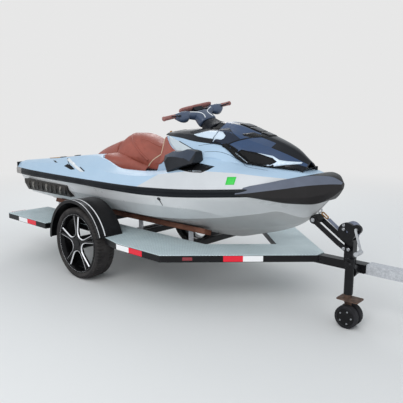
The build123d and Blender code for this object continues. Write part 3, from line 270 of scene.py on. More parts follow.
# Mottle: a slow drift between two colours, with its mask for the roughness
mottle, mottle_in, mottle_out = group_of(
    "mottle",
    [("Scale", FLOAT, 5.0), ("Light", COLOUR, (0.8, 0.8, 0.8, 1)), ("Dark", COLOUR, (0.7, 0.7, 0.7, 1))],
    [("Color", COLOUR), ("Mask", FLOAT)],
)
mottle_place = wired(mottle, "TexCoord")
mottle_noise = wired(
    mottle, "TexNoise",
    {
        "Vector": mottle_place.outputs["Object"], "Scale": mottle_in.outputs["Scale"], "Detail": 5.0,
        "Roughness": 0.6,
    },
)
mottle_spread = wired(
    mottle, "MapRange", {"Value": mottle_noise.outputs["Fac"], "From Min": 0.32, "From Max": 0.68},
)
mottle_mix = wired(
    mottle, "Mix",
    {
        "Factor": mottle_spread.outputs["Result"], "A": mottle_in.outputs["Dark"],
        "B": mottle_in.outputs["Light"],
    },
    data_type="RGBA",
)
mottle.links.new(mottle_mix.outputs["Result"], mottle_out.inputs["Color"])
mottle.links.new(mottle_spread.outputs["Result"], mottle_out.inputs["Mask"])

# Grain: the fine pebbling of moulded plastic, leathercloth and cast metal, as a height
grain, grain_in, grain_out = group_of(
    "grain", [("Scale", FLOAT, 300.0), ("Depth", FLOAT, 1.0)], [("Height", FLOAT)]
)
grain_place = wired(grain, "TexCoord")
grain_feeds = {"Vector": grain_place.outputs["Object"], "Scale": grain_in.outputs["Scale"]}
grain_cells = wired(grain, "TexVoronoi", grain_feeds)
grain_noise = wired(grain, "TexNoise", {**grain_feeds, "Detail": 3.0})
grain_sum = wired(
    grain, "Math", {0: grain_cells.outputs["Distance"], 1: grain_noise.outputs["Fac"]}, operation="ADD",
)
grain_depth = wired(
    grain, "Math", {0: grain_sum.outputs["Value"], 1: grain_in.outputs["Depth"]}, operation="MULTIPLY",
)
grain.links.new(grain_depth.outputs["Value"], grain_out.inputs["Height"])

# Dust: road film that settles where a surface faces up
dust, dust_in, dust_out = group_of(
    "dust",
    [("Color", COLOUR, (0.5, 0.5, 0.5, 1)), ("Film", COLOUR, (0.42, 0.39, 0.34, 1)), ("Amount", FLOAT, 0.2)],
    [("Color", COLOUR)],
)
dust_geometry = wired(dust, "NewGeometry")
dust_split = wired(dust, "SeparateXYZ", {"Vector": dust_geometry.outputs["Normal"]})
dust_place = wired(dust, "TexCoord")
dust_noise = wired(dust, "TexNoise", {"Vector": dust_place.outputs["Object"], "Scale": 9.0, "Detail": 6.0})
dust_up = wired(dust, "MapRange", {"Value": dust_split.outputs["Z"], "From Min": -0.4})
dust_parts = wired(
    dust, "Math", {0: dust_up.outputs["Result"], 1: dust_noise.outputs["Fac"]}, operation="MULTIPLY",
)
dust_share = wired(
    dust, "Math", {0: dust_parts.outputs["Value"], 1: dust_in.outputs["Amount"]}, operation="MULTIPLY",
)
dust_mix = wired(
    dust, "Mix",
    {"Factor": dust_share.outputs["Value"], "A": dust_in.outputs["Color"], "B": dust_in.outputs["Film"]},
    data_type="RGBA",
)
dust.links.new(dust_mix.outputs["Result"], dust_out.inputs["Color"])


def placed(material, group, **values):
    """A node group set into a material with its own values."""
    node = material.node_tree.nodes.new("ShaderNodeGroup")
    node.node_tree = group
    for label, value in values.items():
        node.inputs[label].default_value = value
    return node


def bumped(material, height, strength, distance):
    """A texture's height, felt by a material's shader."""
    tree = material.node_tree
    bump = wired(tree, "Bump", {"Strength": strength, "Distance": distance, "Height": height})
    tree.links.new(bump.outputs["Normal"], tree.nodes["Principled BSDF"].inputs["Normal"])


def coat_of(
    name, light, dark, rough, drift=4.0, metal=0.0, coat=0.0, pebble=0.0, pebble_scale=300.0, film=0.0,
):
    """A finish whose colour drifts from light to dark, with pebbling and a film of dust if wanted."""
    material = bpy.data.materials.new(name)
    material.use_nodes = True
    tree = material.node_tree
    shader = tree.nodes["Principled BSDF"]
    shader.inputs["Metallic"].default_value = metal
    shader.inputs["Coat Weight"].default_value = coat
    shader.inputs["Specular IOR Level"].default_value = 0.5 if max(light) > 0.12 else 0.2
    shader.inputs["Coat Roughness"].default_value = 0.06
    tone = placed(material, mottle, Scale=drift, Light=(*light, 1), Dark=(*dark, 1))
    worn = placed(material, dust, Amount=film)
    tree.links.new(tone.outputs["Color"], worn.inputs["Color"])
    tree.links.new(worn.outputs["Color"], shader.inputs["Base Color"])
    gloss = wired(
        tree, "MapRange",
        {"Value": tone.outputs["Mask"], "To Min": min(1.0, rough * 1.2), "To Max": rough * 0.85},
    )
    tree.links.new(gloss.outputs["Result"], shader.inputs["Roughness"])
    if pebble:
        bumped(
            material, placed(material, grain, Scale=pebble_scale, Depth=1.0).outputs["Height"], pebble, 0.001,
        )
    return material


def finished(piece, slot, *finishes, stands_for=()):
    """A piece with its materials in order and the nodes that it replaces. The slot is not used."""
    for finish in finishes:
        piece.data.materials.append(finish)
    for name in stands_for:
        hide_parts(name)


keel_line = [
    (-1.32, 0, 0.405), (0.85, 0, 0.405), (1.10, 0, 0.412), (1.32, 0, 0.468), (1.54, 0, 0.536),
    (1.72, 0, 0.621), (1.86, 0, 0.760), (1.925, 0, 0.838),
]
strake_line = [
    (-1.32, 0.20, 0.472), (0.85, 0.19, 0.470), (1.10, 0.15, 0.490), (1.40, 0.06, 0.535), (1.70, 0.006, 0.618),
    (1.86, 0.004, 0.763), (1.925, 0.002, 0.840),
]
strake_edge = [
    (-1.32, 0.222, 0.488), (0.85, 0.21, 0.487), (1.10, 0.17, 0.506), (1.40, 0.075, 0.548),
    (1.70, 0.008, 0.622), (1.86, 0.006, 0.765), (1.925, 0.003, 0.841),
]
chine_line = [
    (-1.32, 0.455, 0.578), (-0.90, 0.475, 0.575), (0.50, 0.475, 0.575), (0.85, 0.440, 0.592),
    (1.10, 0.378, 0.620), (1.22, 0.345, 0.638), (1.36, 0.290, 0.665), (1.50, 0.238, 0.693),
    (1.60, 0.185, 0.716), (1.67, 0.090, 0.680), (1.72, 0.012, 0.645), (1.78, 0.010, 0.690),
    (1.86, 0.008, 0.767), (1.925, 0.004, 0.842),
]
side_line = [
    (-1.32, 0.522, 0.688), (-0.90, 0.565, 0.689), (-0.20, 0.585, 0.690), (0.50, 0.586, 0.694),
    (0.86, 0.565, 0.704), (1.05, 0.510, 0.704), (1.17, 0.430, 0.680), (1.25, 0.345, 0.652),
    (1.36, 0.305, 0.678), (1.50, 0.250, 0.704), (1.60, 0.192, 0.724), (1.67, 0.115, 0.705),
    (1.72, 0.050, 0.690), (1.78, 0.030, 0.720), (1.86, 0.020, 0.785), (1.925, 0.008, 0.845),
]
brow_line = [
    (-1.32, 0.566, 0.758), (-0.90, 0.601, 0.760), (0.50, 0.620, 0.762), (0.85, 0.596, 0.772),
    (1.10, 0.548, 0.788), (1.32, 0.476, 0.804), (1.42, 0.430, 0.806), (1.50, 0.345, 0.782),
    (1.56, 0.268, 0.758), (1.60, 0.215, 0.738), (1.67, 0.160, 0.740), (1.72, 0.125, 0.750),
    (1.78, 0.085, 0.770), (1.86, 0.045, 0.815), (1.925, 0.015, 0.852),
]
rail_foot = [
    (-1.44, 0.548, 0.770), (-1.32, 0.570, 0.771), (-0.90, 0.606, 0.774), (-0.20, 0.625, 0.778),
    (0.20, 0.6275, 0.774), (0.50, 0.624, 0.774), (0.85, 0.600, 0.784), (1.10, 0.553, 0.800),
    (1.32, 0.484, 0.818), (1.54, 0.390, 0.835), (1.72, 0.272, 0.850), (1.86, 0.140, 0.862),
    (1.925, 0.045, 0.880),
]
rail_head = [
    (-1.44, 0.548, 0.838), (-1.32, 0.570, 0.837), (-0.90, 0.606, 0.834), (-0.20, 0.625, 0.832),
    (0.20, 0.6275, 0.832), (0.50, 0.624, 0.835), (0.85, 0.600, 0.847), (1.10, 0.553, 0.860),
    (1.32, 0.484, 0.876), (1.54, 0.390, 0.893), (1.72, 0.272, 0.908), (1.86, 0.140, 0.918),
    (1.925, 0.045, 0.925),
]
transom_x, platform_end_x, stem_x = -1.32, -1.44, 1.925
tunnel_half, tunnel_roof, tunnel_front_x = 0.125, 0.752, -1.06


def hull_row(x):
    """The hull's half section from the keel, or from the tunnel's roof, up to the rail."""
    lines = (keel_line, strake_line, strake_edge, chine_line, side_line, brow_line, rail_foot, rail_head)
    row = [fair(line, x) for line in lines]
    if x < tunnel_front_x:
        row[:1] = [
            (0, tunnel_roof), (tunnel_half - 0.02, tunnel_roof), (tunnel_half, tunnel_roof - 0.02),
            (tunnel_half, 0.450),
        ]
    else:
        low, slope = row[0][1], (row[1][1] - row[0][1]) / max(row[1][0], 0.001)
        row[:1] = [(row[1][0] * share, low + slope * row[1][0] * share) for share in (0, 0.25, 0.45, 0.62)]
    return row


hull_paint = coat_of("hull_paint", (0.68, 0.69, 0.70), (0.63, 0.64, 0.65), 0.30, coat=0.3, film=0.05)
hull_grey = coat_of("hull_grey", (0.50, 0.50, 0.50), (0.43, 0.43, 0.43), 0.35, coat=0.3, film=0.05)
hull_stations = spaced(
    transom_x, stem_x, 0.07, (tunnel_front_x - 0.004, tunnel_front_x + 0.004, 1.25, 1.6, 1.72),
)
hull = shell(
    "hull_shell", hull_row, hull_stations,
    {0: 0.8, 2: 0.7, 3: 0.6, 4: 0.9, 5: 0.9, 6: 1.0, 7: 0.85, 8: 0.6, 9: 1.0},
    lambda x, i: 1 if i < 6 else 0, caps=(0,), notched=True,
)
finished(hull, "hull_gelcoat", hull_paint, hull_grey, stands_for=["hull"])

# Deck: the upper shell in ice-blue gelcoat with a silver panel between rail and shoulder ahead of the knees.
# It has the rear platform, the sunken foot trenches, the seat bay, the steering cowl and the opening of the
# bow bin.
shoulder_line = [
    (-1.44, 0.512, 0.885), (-1.32, 0.526, 0.893), (-0.90, 0.545, 0.917), (-0.20, 0.560, 0.940),
    (-0.05, 0.562, 0.930), (0.20, 0.565, 0.905), (0.50, 0.565, 0.908), (0.85, 0.530, 0.958),
    (1.10, 0.480, 0.990), (1.32, 0.415, 0.990), (1.54, 0.335, 0.976), (1.72, 0.228, 0.962),
    (1.86, 0.112, 0.948), (1.925, 0.038, 0.938),
]
crown_line = [
    (-1.44, 0.440, 0.903), (-1.32, 0.445, 0.912), (-0.90, 0.450, 0.950), (-0.55, 0.445, 0.995),
    (-0.20, 0.440, 1.024), (-0.05, 0.440, 1.006), (0.20, 0.455, 0.936), (0.50, 0.455, 0.940),
    (0.72, 0.448, 0.962), (0.86, 0.420, 1.005), (1.10, 0.350, 1.070), (1.32, 0.290, 1.035),
    (1.54, 0.215, 1.016), (1.72, 0.140, 0.999), (1.86, 0.070, 0.971), (1.925, 0.025, 0.948),
]
bay_rear_x, bay_front_x, bay_half, bay_floor = -0.64, 0.43, 0.250, 0.902
cowl_foot = [
    (-1.44, 0.210, 0.903), (-1.32, 0.210, 0.912), (-0.90, 0.235, 0.950), (-0.64, 0.262, 0.985),
    (-0.20, 0.264, 1.026), (-0.05, 0.264, 1.002), (0.20, 0.264, 0.915), (0.424, 0.264, 0.906),
    (0.436, 0.262, 0.93), (0.50, 0.266, 1.020), (0.62, 0.276, 1.090), (0.78, 0.330, 1.100),
    (0.90, 0.375, 1.085), (1.04, 0.368, 1.083), (1.16, 0.338, 1.078), (1.30, 0.272, 1.040),
    (1.42, 0.235, 1.031), (1.54, 0.190, 1.019), (1.72, 0.120, 1.001), (1.86, 0.060, 0.972),
    (1.925, 0.020, 0.949),
]
cowl_rim = [
    (-1.44, 0.200, 0.903), (-1.32, 0.200, 0.912), (-0.90, 0.225, 0.950), (-0.64, 0.256, 0.985),
    (-0.20, 0.257, 1.026), (-0.05, 0.257, 1.002), (0.20, 0.257, 0.915), (0.424, 0.257, 0.906),
    (0.436, 0.160, 1.216), (0.50, 0.188, 1.217), (0.65, 0.248, 1.213), (0.90, 0.286, 1.186),
    (1.04, 0.276, 1.176), (1.16, 0.259, 1.164), (1.30, 0.240, 1.058), (1.40, 0.215, 1.036),
    (1.54, 0.155, 1.020), (1.72, 0.090, 1.002), (1.86, 0.045, 0.973), (1.925, 0.015, 0.950),
]
trench_rear_x, trench_front_x, trench_floor = -0.13, 0.78, 0.722
trench_in, trench_out = 0.282, 0.424
bin_rear_x, bin_front_x, bin_half, bin_floor = 1.09, 1.42, 0.15, 0.70


def between(a, b, share):
    """A point part of the way from a to b."""
    return (a[0] + (b[0] - a[0]) * share, a[1] + (b[1] - a[1]) * share)


def deck_row(x):
    """The deck's half section: rail, shoulder, gunwale, foot trench, cowl and the flat in the middle."""
    head, shoulder, crown = fair(rail_head, x), fair(shoulder_line, x), fair(crown_line, x)
    foot, rim = fair(cowl_foot, x), fair(cowl_rim, x)
    slope = 0.03
    sunk = max(0.0, min(1.0, (x - trench_rear_x) / slope, (trench_front_x - x) / slope))
    lip = between(between(crown, foot, 0.2), (trench_out + 0.006, crown[1] - 0.008), sunk)
    outer = between(between(crown, foot, 0.4), (trench_out, trench_floor), sunk)
    inner = between(between(crown, foot, 0.7), (trench_in, trench_floor), sunk)
    if bay_rear_x < x < bay_front_x:
        middle = (bay_half, bay_floor)
    else:
        middle = (min(bin_half, rim[0] * 0.8), rim[1] + 0.001)
    return [head, shoulder, crown, lip, outer, inner, foot, rim, middle, (0, middle[1])]


def inside_bin(x, strip):
    """Whether a strip of the deck lies over the bow bin, where it is left open."""
    return strip == 8 and bin_rear_x < x < bin_front_x


ice_paint = coat_of("ice_paint", (0.47, 0.63, 0.79), (0.43, 0.59, 0.75), 0.42, coat=0.08, film=0.04)

# Two-tone side: silver ahead of a slanting edge behind the knee, ice-blue behind it
side_paint = coat_of("side_paint", (0.47, 0.63, 0.79), (0.43, 0.59, 0.75), 0.42, coat=0.08, film=0.04)
side_tree = side_paint.node_tree
side_start, side_lean, side_height = 0.64, 1.6, 0.877
side_edge = axle_x + side_start - side_lean * side_height
side_place = wired(side_tree, "TexCoord")
side_split = wired(side_tree, "SeparateXYZ", {"Vector": side_place.outputs["Object"]})
side_slant = wired(
    side_tree, "Math", {0: side_split.outputs["Z"], 1: -side_lean, 2: side_split.outputs["X"]},
    operation="MULTIPLY_ADD",
)
side_step = wired(
    side_tree, "MapRange",
    {"Value": side_slant.outputs["Value"], "From Min": side_edge, "From Max": side_edge + 0.003},
)
side_tone = placed(side_paint, mottle, Scale=4.0, Light=(0.66, 0.68, 0.70, 1), Dark=(0.60, 0.62, 0.64, 1))
side_worn = next(n for n in side_tree.nodes if n.type == "GROUP" and n.node_tree == dust)
side_ice = side_worn.inputs["Color"].links[0].from_socket
side_mix = wired(
    side_tree, "Mix", {"Factor": side_step.outputs["Result"], "A": side_ice, "B": side_tone.outputs["Color"]},
    data_type="RGBA",
)
side_tree.links.new(side_mix.outputs["Result"], side_worn.inputs["Color"])

deck_stations = spaced(
    platform_end_x, stem_x, 0.07,
    (
        bay_rear_x - 0.004, bay_rear_x + 0.004, trench_rear_x - 0.004, trench_rear_x, trench_rear_x + 0.03,
        trench_rear_x + 0.036, trench_front_x - 0.036, trench_front_x - 0.03, trench_front_x,
        trench_front_x + 0.004,
        0.424, bay_front_x - 0.002, bay_front_x + 0.002, 0.436, bin_rear_x, bin_front_x,
    ),
)
deck = shell(
    "deck_shell", deck_row, deck_stations,
    {0: 1.0, 1: 0.75, 2: 0.35, 3: 0.9, 4: 0.6, 5: 0.6, 6: 0.5, 7: 0.8, 8: 0.9},
    lambda x, i: 1 if i == 0 else 0, inside_bin, caps=(0,),
)
finished(deck, "deck_gelcoat", ice_paint, side_paint, stands_for=["deck"])

tub = bmesh.new()
bin_corners = [
    (bin_rear_x, -bin_half), (bin_front_x, -bin_half), (bin_front_x, bin_half), (bin_rear_x, bin_half),
]
tops = [tub.verts.new(at(x, y, fair(cowl_rim, x)[1] + 0.001)) for x, y in bin_corners]
floors = [tub.verts.new(at(x, y, bin_floor)) for x, y in bin_corners]
tub.faces.new(floors)
for i in range(4):
    tub.faces.new((tops[i], tops[(i + 1) % 4], floors[(i + 1) % 4], floors[i]))
bmesh.ops.recalc_face_normals(tub, faces=tub.faces)
bmesh.ops.reverse_faces(tub, faces=tub.faces)
bin_plastic = coat_of("bin_plastic", (0.045, 0.047, 0.05), (0.03, 0.032, 0.035), 0.5, pebble=0.3, film=0.2)
bow_bin = solid("bow_bin_tub", tub, bin_plastic, slot="console_plastic")
bin_round = bow_bin.modifiers.new("corners", "BEVEL")
bin_round.width = 0.018
bin_round.segments = 3


# Rubbing rails and stern bumper: black extruded rubber over the joint of hull and deck, with a groove along
# the middle, pushed on and riveted.
rail_start_x, rail_end_x = -1.30, 1.56
rail_proud = 0.014


def rail_row(x):
    """The rubber's section, from its lower lip round the groove to its upper lip."""
    (y, low), (_, high) = fair(rail_foot, x), fair(rail_head, x)
    middle = (low + high) / 2
    return [
        (y, low), (y + 0.010, low + 0.003), (y + rail_proud, low + 0.012), (y + rail_proud, middle - 0.006),
        (y + rail_proud - 0.004, middle - 0.003), (y + rail_proud - 0.004, middle + 0.003),
        (y + rail_proud, middle + 0.006), (y + rail_proud, high - 0.012), (y + 0.010, high - 0.003),
        (y, high),
    ]


rubber_black = coat_of(
    "rubber_black", (0.007, 0.009, 0.013), (0.004, 0.006, 0.009), 0.45, pebble=0.15, film=0.01,
)
rails = shell(
    "rub_rail_bands", rail_row, spaced(rail_start_x, rail_end_x, 0.09), {3: 0.8, 4: 0.8, 5: 0.8, 6: 0.8},
    caps=(0, -1), levels=1,
)
finished(rails, "rubber_black", rubber_black, stands_for=["rub_rails"])


corner_grey = coat_of(
    "corner_grey", (0.30, 0.28, 0.27), (0.22, 0.21, 0.20), 0.35, drift=9, pebble=0.2, film=0.1,
)
corners_cap = shell(
    "stern_corner_caps", rail_row, spaced(platform_end_x, rail_start_x, 0.05),
    {3: 0.8, 4: 0.8, 5: 0.8, 6: 0.8}, caps=(0, -1), levels=1,
)
finished(corners_cap, "rubber_black", corner_grey, stands_for=["rub_rails"])


def dress(material, *names, edge=0.0015):
    """A CAD node's finish, with its sharp edges eased by a small rounding."""
    for name in names:
        node = nodes[name]
        for slot in node.material_slots:
            slot.material = material
        weld = node.modifiers.new("joined", "WELD")
        weld.merge_threshold = 0.00002
        if edge:
            bevel = node.modifiers.new("eased", "BEVEL")
            bevel.width = edge
            bevel.segments = 2
            bevel.limit_method = "ANGLE"
            bevel.angle_limit = math.radians(35)
        node.modifiers.new("flats", "WEIGHTED_NORMAL").keep_sharp = True


dress(rubber_black, "stern_bumper", edge=0.004)

# Bow bumper: the thick nose of moulded rubber, black below and slate above a long ridge, which takes the
# knocks at a jetty. It is pushed over the joint of hull and deck and screwed on.
bumper_foot = [
    (1.42, 0.440, 0.834), (1.50, 0.405, 0.832), (1.60, 0.352, 0.816), (1.72, 0.272, 0.797),
    (1.86, 0.142, 0.790), (1.94, 0.056, 0.836), (1.975, 0.022, 0.868), (1.994, 0.006, 0.895),
]
bumper_wide = [
    (1.42, 0.458, 0.842), (1.50, 0.432, 0.842), (1.60, 0.392, 0.840), (1.72, 0.316, 0.838),
    (1.86, 0.210, 0.848), (1.94, 0.106, 0.876), (1.975, 0.052, 0.902), (1.994, 0.020, 0.918),
]
bumper_ridge = [
    (1.42, 0.460, 0.849), (1.50, 0.436, 0.862), (1.60, 0.398, 0.882), (1.72, 0.320, 0.904),
    (1.86, 0.206, 0.930), (1.94, 0.104, 0.935), (1.975, 0.052, 0.935), (1.994, 0.021, 0.930),
]
bumper_head = [
    (1.42, 0.436, 0.892), (1.50, 0.400, 0.910), (1.60, 0.352, 0.934), (1.72, 0.264, 0.966),
    (1.86, 0.134, 0.990), (1.94, 0.062, 0.984), (1.975, 0.028, 0.966), (1.994, 0.008, 0.943),
]


def bumper_row(x):
    """The nose's half section, from below, round the wide edge and the ridge, to the top."""
    foot, wide, ridge, head = (
        fair(line, x)
        for line in (bumper_foot, bumper_wide, bumper_ridge, bumper_head)
    )
    under = between(foot, wide, 0.5)
    return [
        (0, foot[1] + 0.002), (foot[0] * 0.5, foot[1] + 0.001), foot, (under[0], under[1] - 0.006), wide,
        ridge,
        between(ridge, head, 0.5), head, (head[0] * 0.5, head[1] + 0.003), (0, head[1] + 0.004),
    ]


bumper_dark = coat_of(
    "bumper_dark", (0.025, 0.023, 0.024), (0.016, 0.015, 0.015), 0.42, pebble=0.3, film=0.02,
)
bumper_slate = coat_of(
    "bumper_slate", (0.125, 0.145, 0.195), (0.090, 0.105, 0.145), 0.42, pebble=0.3, film=0.05,
)
bumper = shell(
    "bow_bumper_moulding", bumper_row, spaced(1.42, 1.994, 0.035), {2: 0.6, 4: 0.75, 5: 0.95, 7: 0.8},
    lambda x, i: 1 if i in (5, 6) else 0, caps=(0, -1),
)
finished(bumper, "rubber_black", bumper_dark, bumper_slate, stands_for=["bow_bumper"])

# Front hood: the navy hatch over the bow bin, a hollow painted moulding with a raised gloss black ridge. It
# swings up on a pin through its nose.
hood_rear_x = 1.046
hood_foot = [
    (1.046, 0.262, 1.184), (1.10, 0.261, 1.181), (1.16, 0.262, 1.168), (1.22, 0.264, 1.118),
    (1.30, 0.258, 1.068), (1.42, 0.236, 1.042), (1.50, 0.212, 1.036), (1.65, 0.138, 1.022),
    (1.74, 0.076, 1.012),
]
hood_brow = [
    (1.046, 0.238, 1.222), (1.16, 0.240, 1.206), (1.30, 0.232, 1.150), (1.42, 0.205, 1.115),
    (1.50, 0.184, 1.100), (1.65, 0.120, 1.062), (1.74, 0.062, 1.034),
]
hood_mid = [
    (1.046, 0.200, 1.268), (1.16, 0.190, 1.262), (1.30, 0.176, 1.218), (1.50, 0.144, 1.160),
    (1.65, 0.092, 1.100), (1.74, 0.045, 1.050),
]
hood_step = [
    (1.046, 0.128, 1.312), (1.16, 0.118, 1.298), (1.30, 0.104, 1.252), (1.50, 0.080, 1.190),
    (1.65, 0.050, 1.125), (1.74, 0.025, 1.058),
]
hood_ridge = [
    (1.046, 0.090, 1.333), (1.16, 0.080, 1.318), (1.30, 0.068, 1.272), (1.50, 0.050, 1.206),
    (1.65, 0.030, 1.138), (1.74, 0.015, 1.061),
]


def walled(piece, thickness):
    """A wall laid inwards from a skin."""
    wall = piece.modifiers.new("wall", "SOLIDIFY")
    wall.thickness = thickness
    wall.offset = -1


def hood_row(x):
    """The hatch's half section, from its foot to the top of the ridge."""
    row = [fair(line, x) for line in (hood_foot, hood_brow, hood_mid, hood_step, hood_ridge)]
    return row + [(0, row[-1][1] + 0.006)]


navy_paint = coat_of("navy_paint", (0.026, 0.066, 0.158), (0.016, 0.044, 0.112), 0.30, coat=0.15, film=0.02)
canopy_black = coat_of(
    "canopy_black", (0.009, 0.011, 0.015), (0.005, 0.006, 0.009), 0.22, coat=0.10, film=0.01,
)


def hood_finish(x, strip):
    """Gloss black along the hatch's ridge, which widens towards its nose, and navy on its flanks."""
    return int(x > {4: 1.09, 3: 1.36, 2: 1.50, 0: 1.45}.get(strip, math.inf))


hood = shell(
    "front_hood_shell", hood_row, spaced(hood_rear_x, 1.745, 0.05, (1.09, 1.36, 1.50)),
    {1: 0.75, 2: 0.7, 3: 0.8, 4: 0.6},
    hood_finish, caps=(0, -1), body="front_hood",
)
walled(hood, 0.010)
finished(hood, "hood_navy", navy_paint, canopy_black, stands_for=["hood"])

# Console: the grained black plastic cover between the knee pad and the hood, clipped over the cowl. The
# steering column comes up through it.
console_base = [
    (0.432, 0.158, 1.217), (0.50, 0.186, 1.218), (0.65, 0.246, 1.214), (0.90, 0.285, 1.187),
    (1.0435, 0.275, 1.177),
]
console_edge = [
    (0.432, 0.140, 1.232), (0.50, 0.172, 1.234), (0.65, 0.228, 1.240), (0.90, 0.262, 1.226),
    (1.0435, 0.250, 1.220),
]
console_turn = [(0.432, 0.118, 1.240), (0.65, 0.186, 1.264), (0.90, 0.198, 1.272), (1.0435, 0.188, 1.264)]
console_top = [(0.432, 0.060, 1.243), (0.65, 0.095, 1.272), (0.90, 0.105, 1.282), (1.0435, 0.100, 1.284)]


def console_row(x):
    """The cover's half section, from its foot to the middle of its top."""
    row = [fair(line, x) for line in (console_base, console_edge, console_turn, console_top)]
    return row + [(0, row[-1][1] + 0.002)]


console_plastic = coat_of(
    "console_plastic", (0.018, 0.020, 0.025), (0.010, 0.011, 0.014), 0.45, pebble=0.5, film=0.03,
)
console = shell("console_cover", console_row, spaced(0.432, 1.0435, 0.05), {1: 0.6, 2: 0.5}, caps=(0, -1))
finished(console, "console_plastic", console_plastic, stands_for=["console"])

# Hood trim: a gloss black canopy along the top, black side vents with a pale blade below them, a black foot
# moulding and a recess under the instrument cowl, all clipped into the hatch.
def colour(red, green, blue):
    """A colour as a painter reads it, from 0 to 255, as the light values that a shader takes."""
    return tuple(
        ((c / 255 + 0.055) / 1.055) ** 2.4 if c > 10 else c / 255 / 12.92
        for c in (red, green, blue)
    )


def surface_of(piece):
    """The finished surface of a piece, to lay trim on."""
    bpy.context.view_layer.update()
    return BVHTree.FromObject(piece, bpy.context.evaluated_depsgraph_get())


side_names = {1: "port", -1: "starboard"}
clear_side, clear_height = 1.2, 2.0


def inlay(
    name, corners, surface, finish, proud=0.0012, depth=0.004, sides=(1, -1), from_above=False, fine=0.02,
    body="root",
):
    """Flat trim cut to an outline, seen from the side or from above, laid on a surface and let into it."""
    for side in sides:
        sheet = bmesh.new()
        if from_above:
            sheet.faces.new([sheet.verts.new(at(x, y * side, clear_height)) for x, y in corners])
            towards = Vector((0, 0, -1))
        else:
            sheet.faces.new([sheet.verts.new(at(x, clear_side * side, z)) for x, z in corners])
            towards = Vector((0, -side, 0))
        bmesh.ops.triangulate(sheet, faces=sheet.faces)
        for _ in range(7):
            long_edges = [e for e in sheet.edges if e.calc_length() > fine]
            if not long_edges:
                break
            bmesh.ops.subdivide_edges(sheet, edges=long_edges, cuts=1)
            bmesh.ops.triangulate(sheet, faces=sheet.faces)
        for v in sheet.verts:
            hit, normal, _, _ = surface.ray_cast(v.co, towards)
            if hit is None:
                hit, normal, _, _ = surface.find_nearest(v.co + towards * 0.9)
            if normal.dot(towards) > 0:
                normal = -normal
            v.co = hit + normal * proud
        for face in sheet.faces:
            face.normal_update()
            if face.normal.dot(towards) > 0:
                face.normal_flip()
            face.smooth = True
        end = side_names[side] if len(sides) == 2 else "one"
        walled(solid(f"{name}_{end}", sheet, finish, body=body), depth)


def smooth_line(name, points):
    """A curve eased between its control points."""
    data = bpy.data.curves.new(name, "CURVE")
    data.dimensions = "3D"
    line = data.splines.new("NURBS")
    line.points.add(len(points) - 1)
    for point, place in zip(line.points, points):
        point.co = (*place, 1)
    line.order_u = 3
    line.use_endpoint_u = True
    return data


def followed(name, points, resolution):
    """The points that a smooth line passes through."""
    route = smooth_line(name, points)
    route.splines[0].resolution_u = resolution
    carrier = bpy.data.objects.new(name, route)
    path = [v.co.copy() for v in bpy.data.meshes.new_from_object(carrier).vertices]
    bpy.data.objects.remove(carrier)
    return path


def bead(name, points, surface, finish, width=0.004, proud=0.0006, body="root"):
    """A narrow line, such as a panel gap or a pinstripe, laid along both sides of a surface."""
    path = followed(name + "_route", [(x, z, 0) for x, z in points], 8)
    for side, end in side_names.items():
        towards = Vector((0, -side, 0))
        hits = []
        for p in path:
            hit, normal, _, _ = surface.ray_cast(at(p.x, clear_side * side, p.y), towards)
            if hit is not None:
                hits.append((hit, normal if normal.dot(towards) < 0 else -normal))
        strip = bmesh.new()
        rows = []
        for n, (hit, normal) in enumerate(hits):
            along = hits[min(n + 1, len(hits) - 1)][0] - hits[max(n - 1, 0)][0]
            across = normal.cross(along).normalized() * width / 2
            top = hit + normal * proud
            rows.append([strip.verts.new(top + across), strip.verts.new(top), strip.verts.new(top - across)])
        for near, far in zip(rows, rows[1:]):
            for i in (0, 1):
                strip.faces.new((near[i], far[i], far[i + 1], near[i + 1])).smooth = True
        for face in strip.faces:
            face.normal_update()
        if sum(f.normal.dot(hits[0][1]) for f in strip.faces) < 0:
            bmesh.ops.reverse_faces(strip, faces=strip.faces)
        walled(solid(f"{name}_{end}", strip, finish, body=body), proud + 0.001)


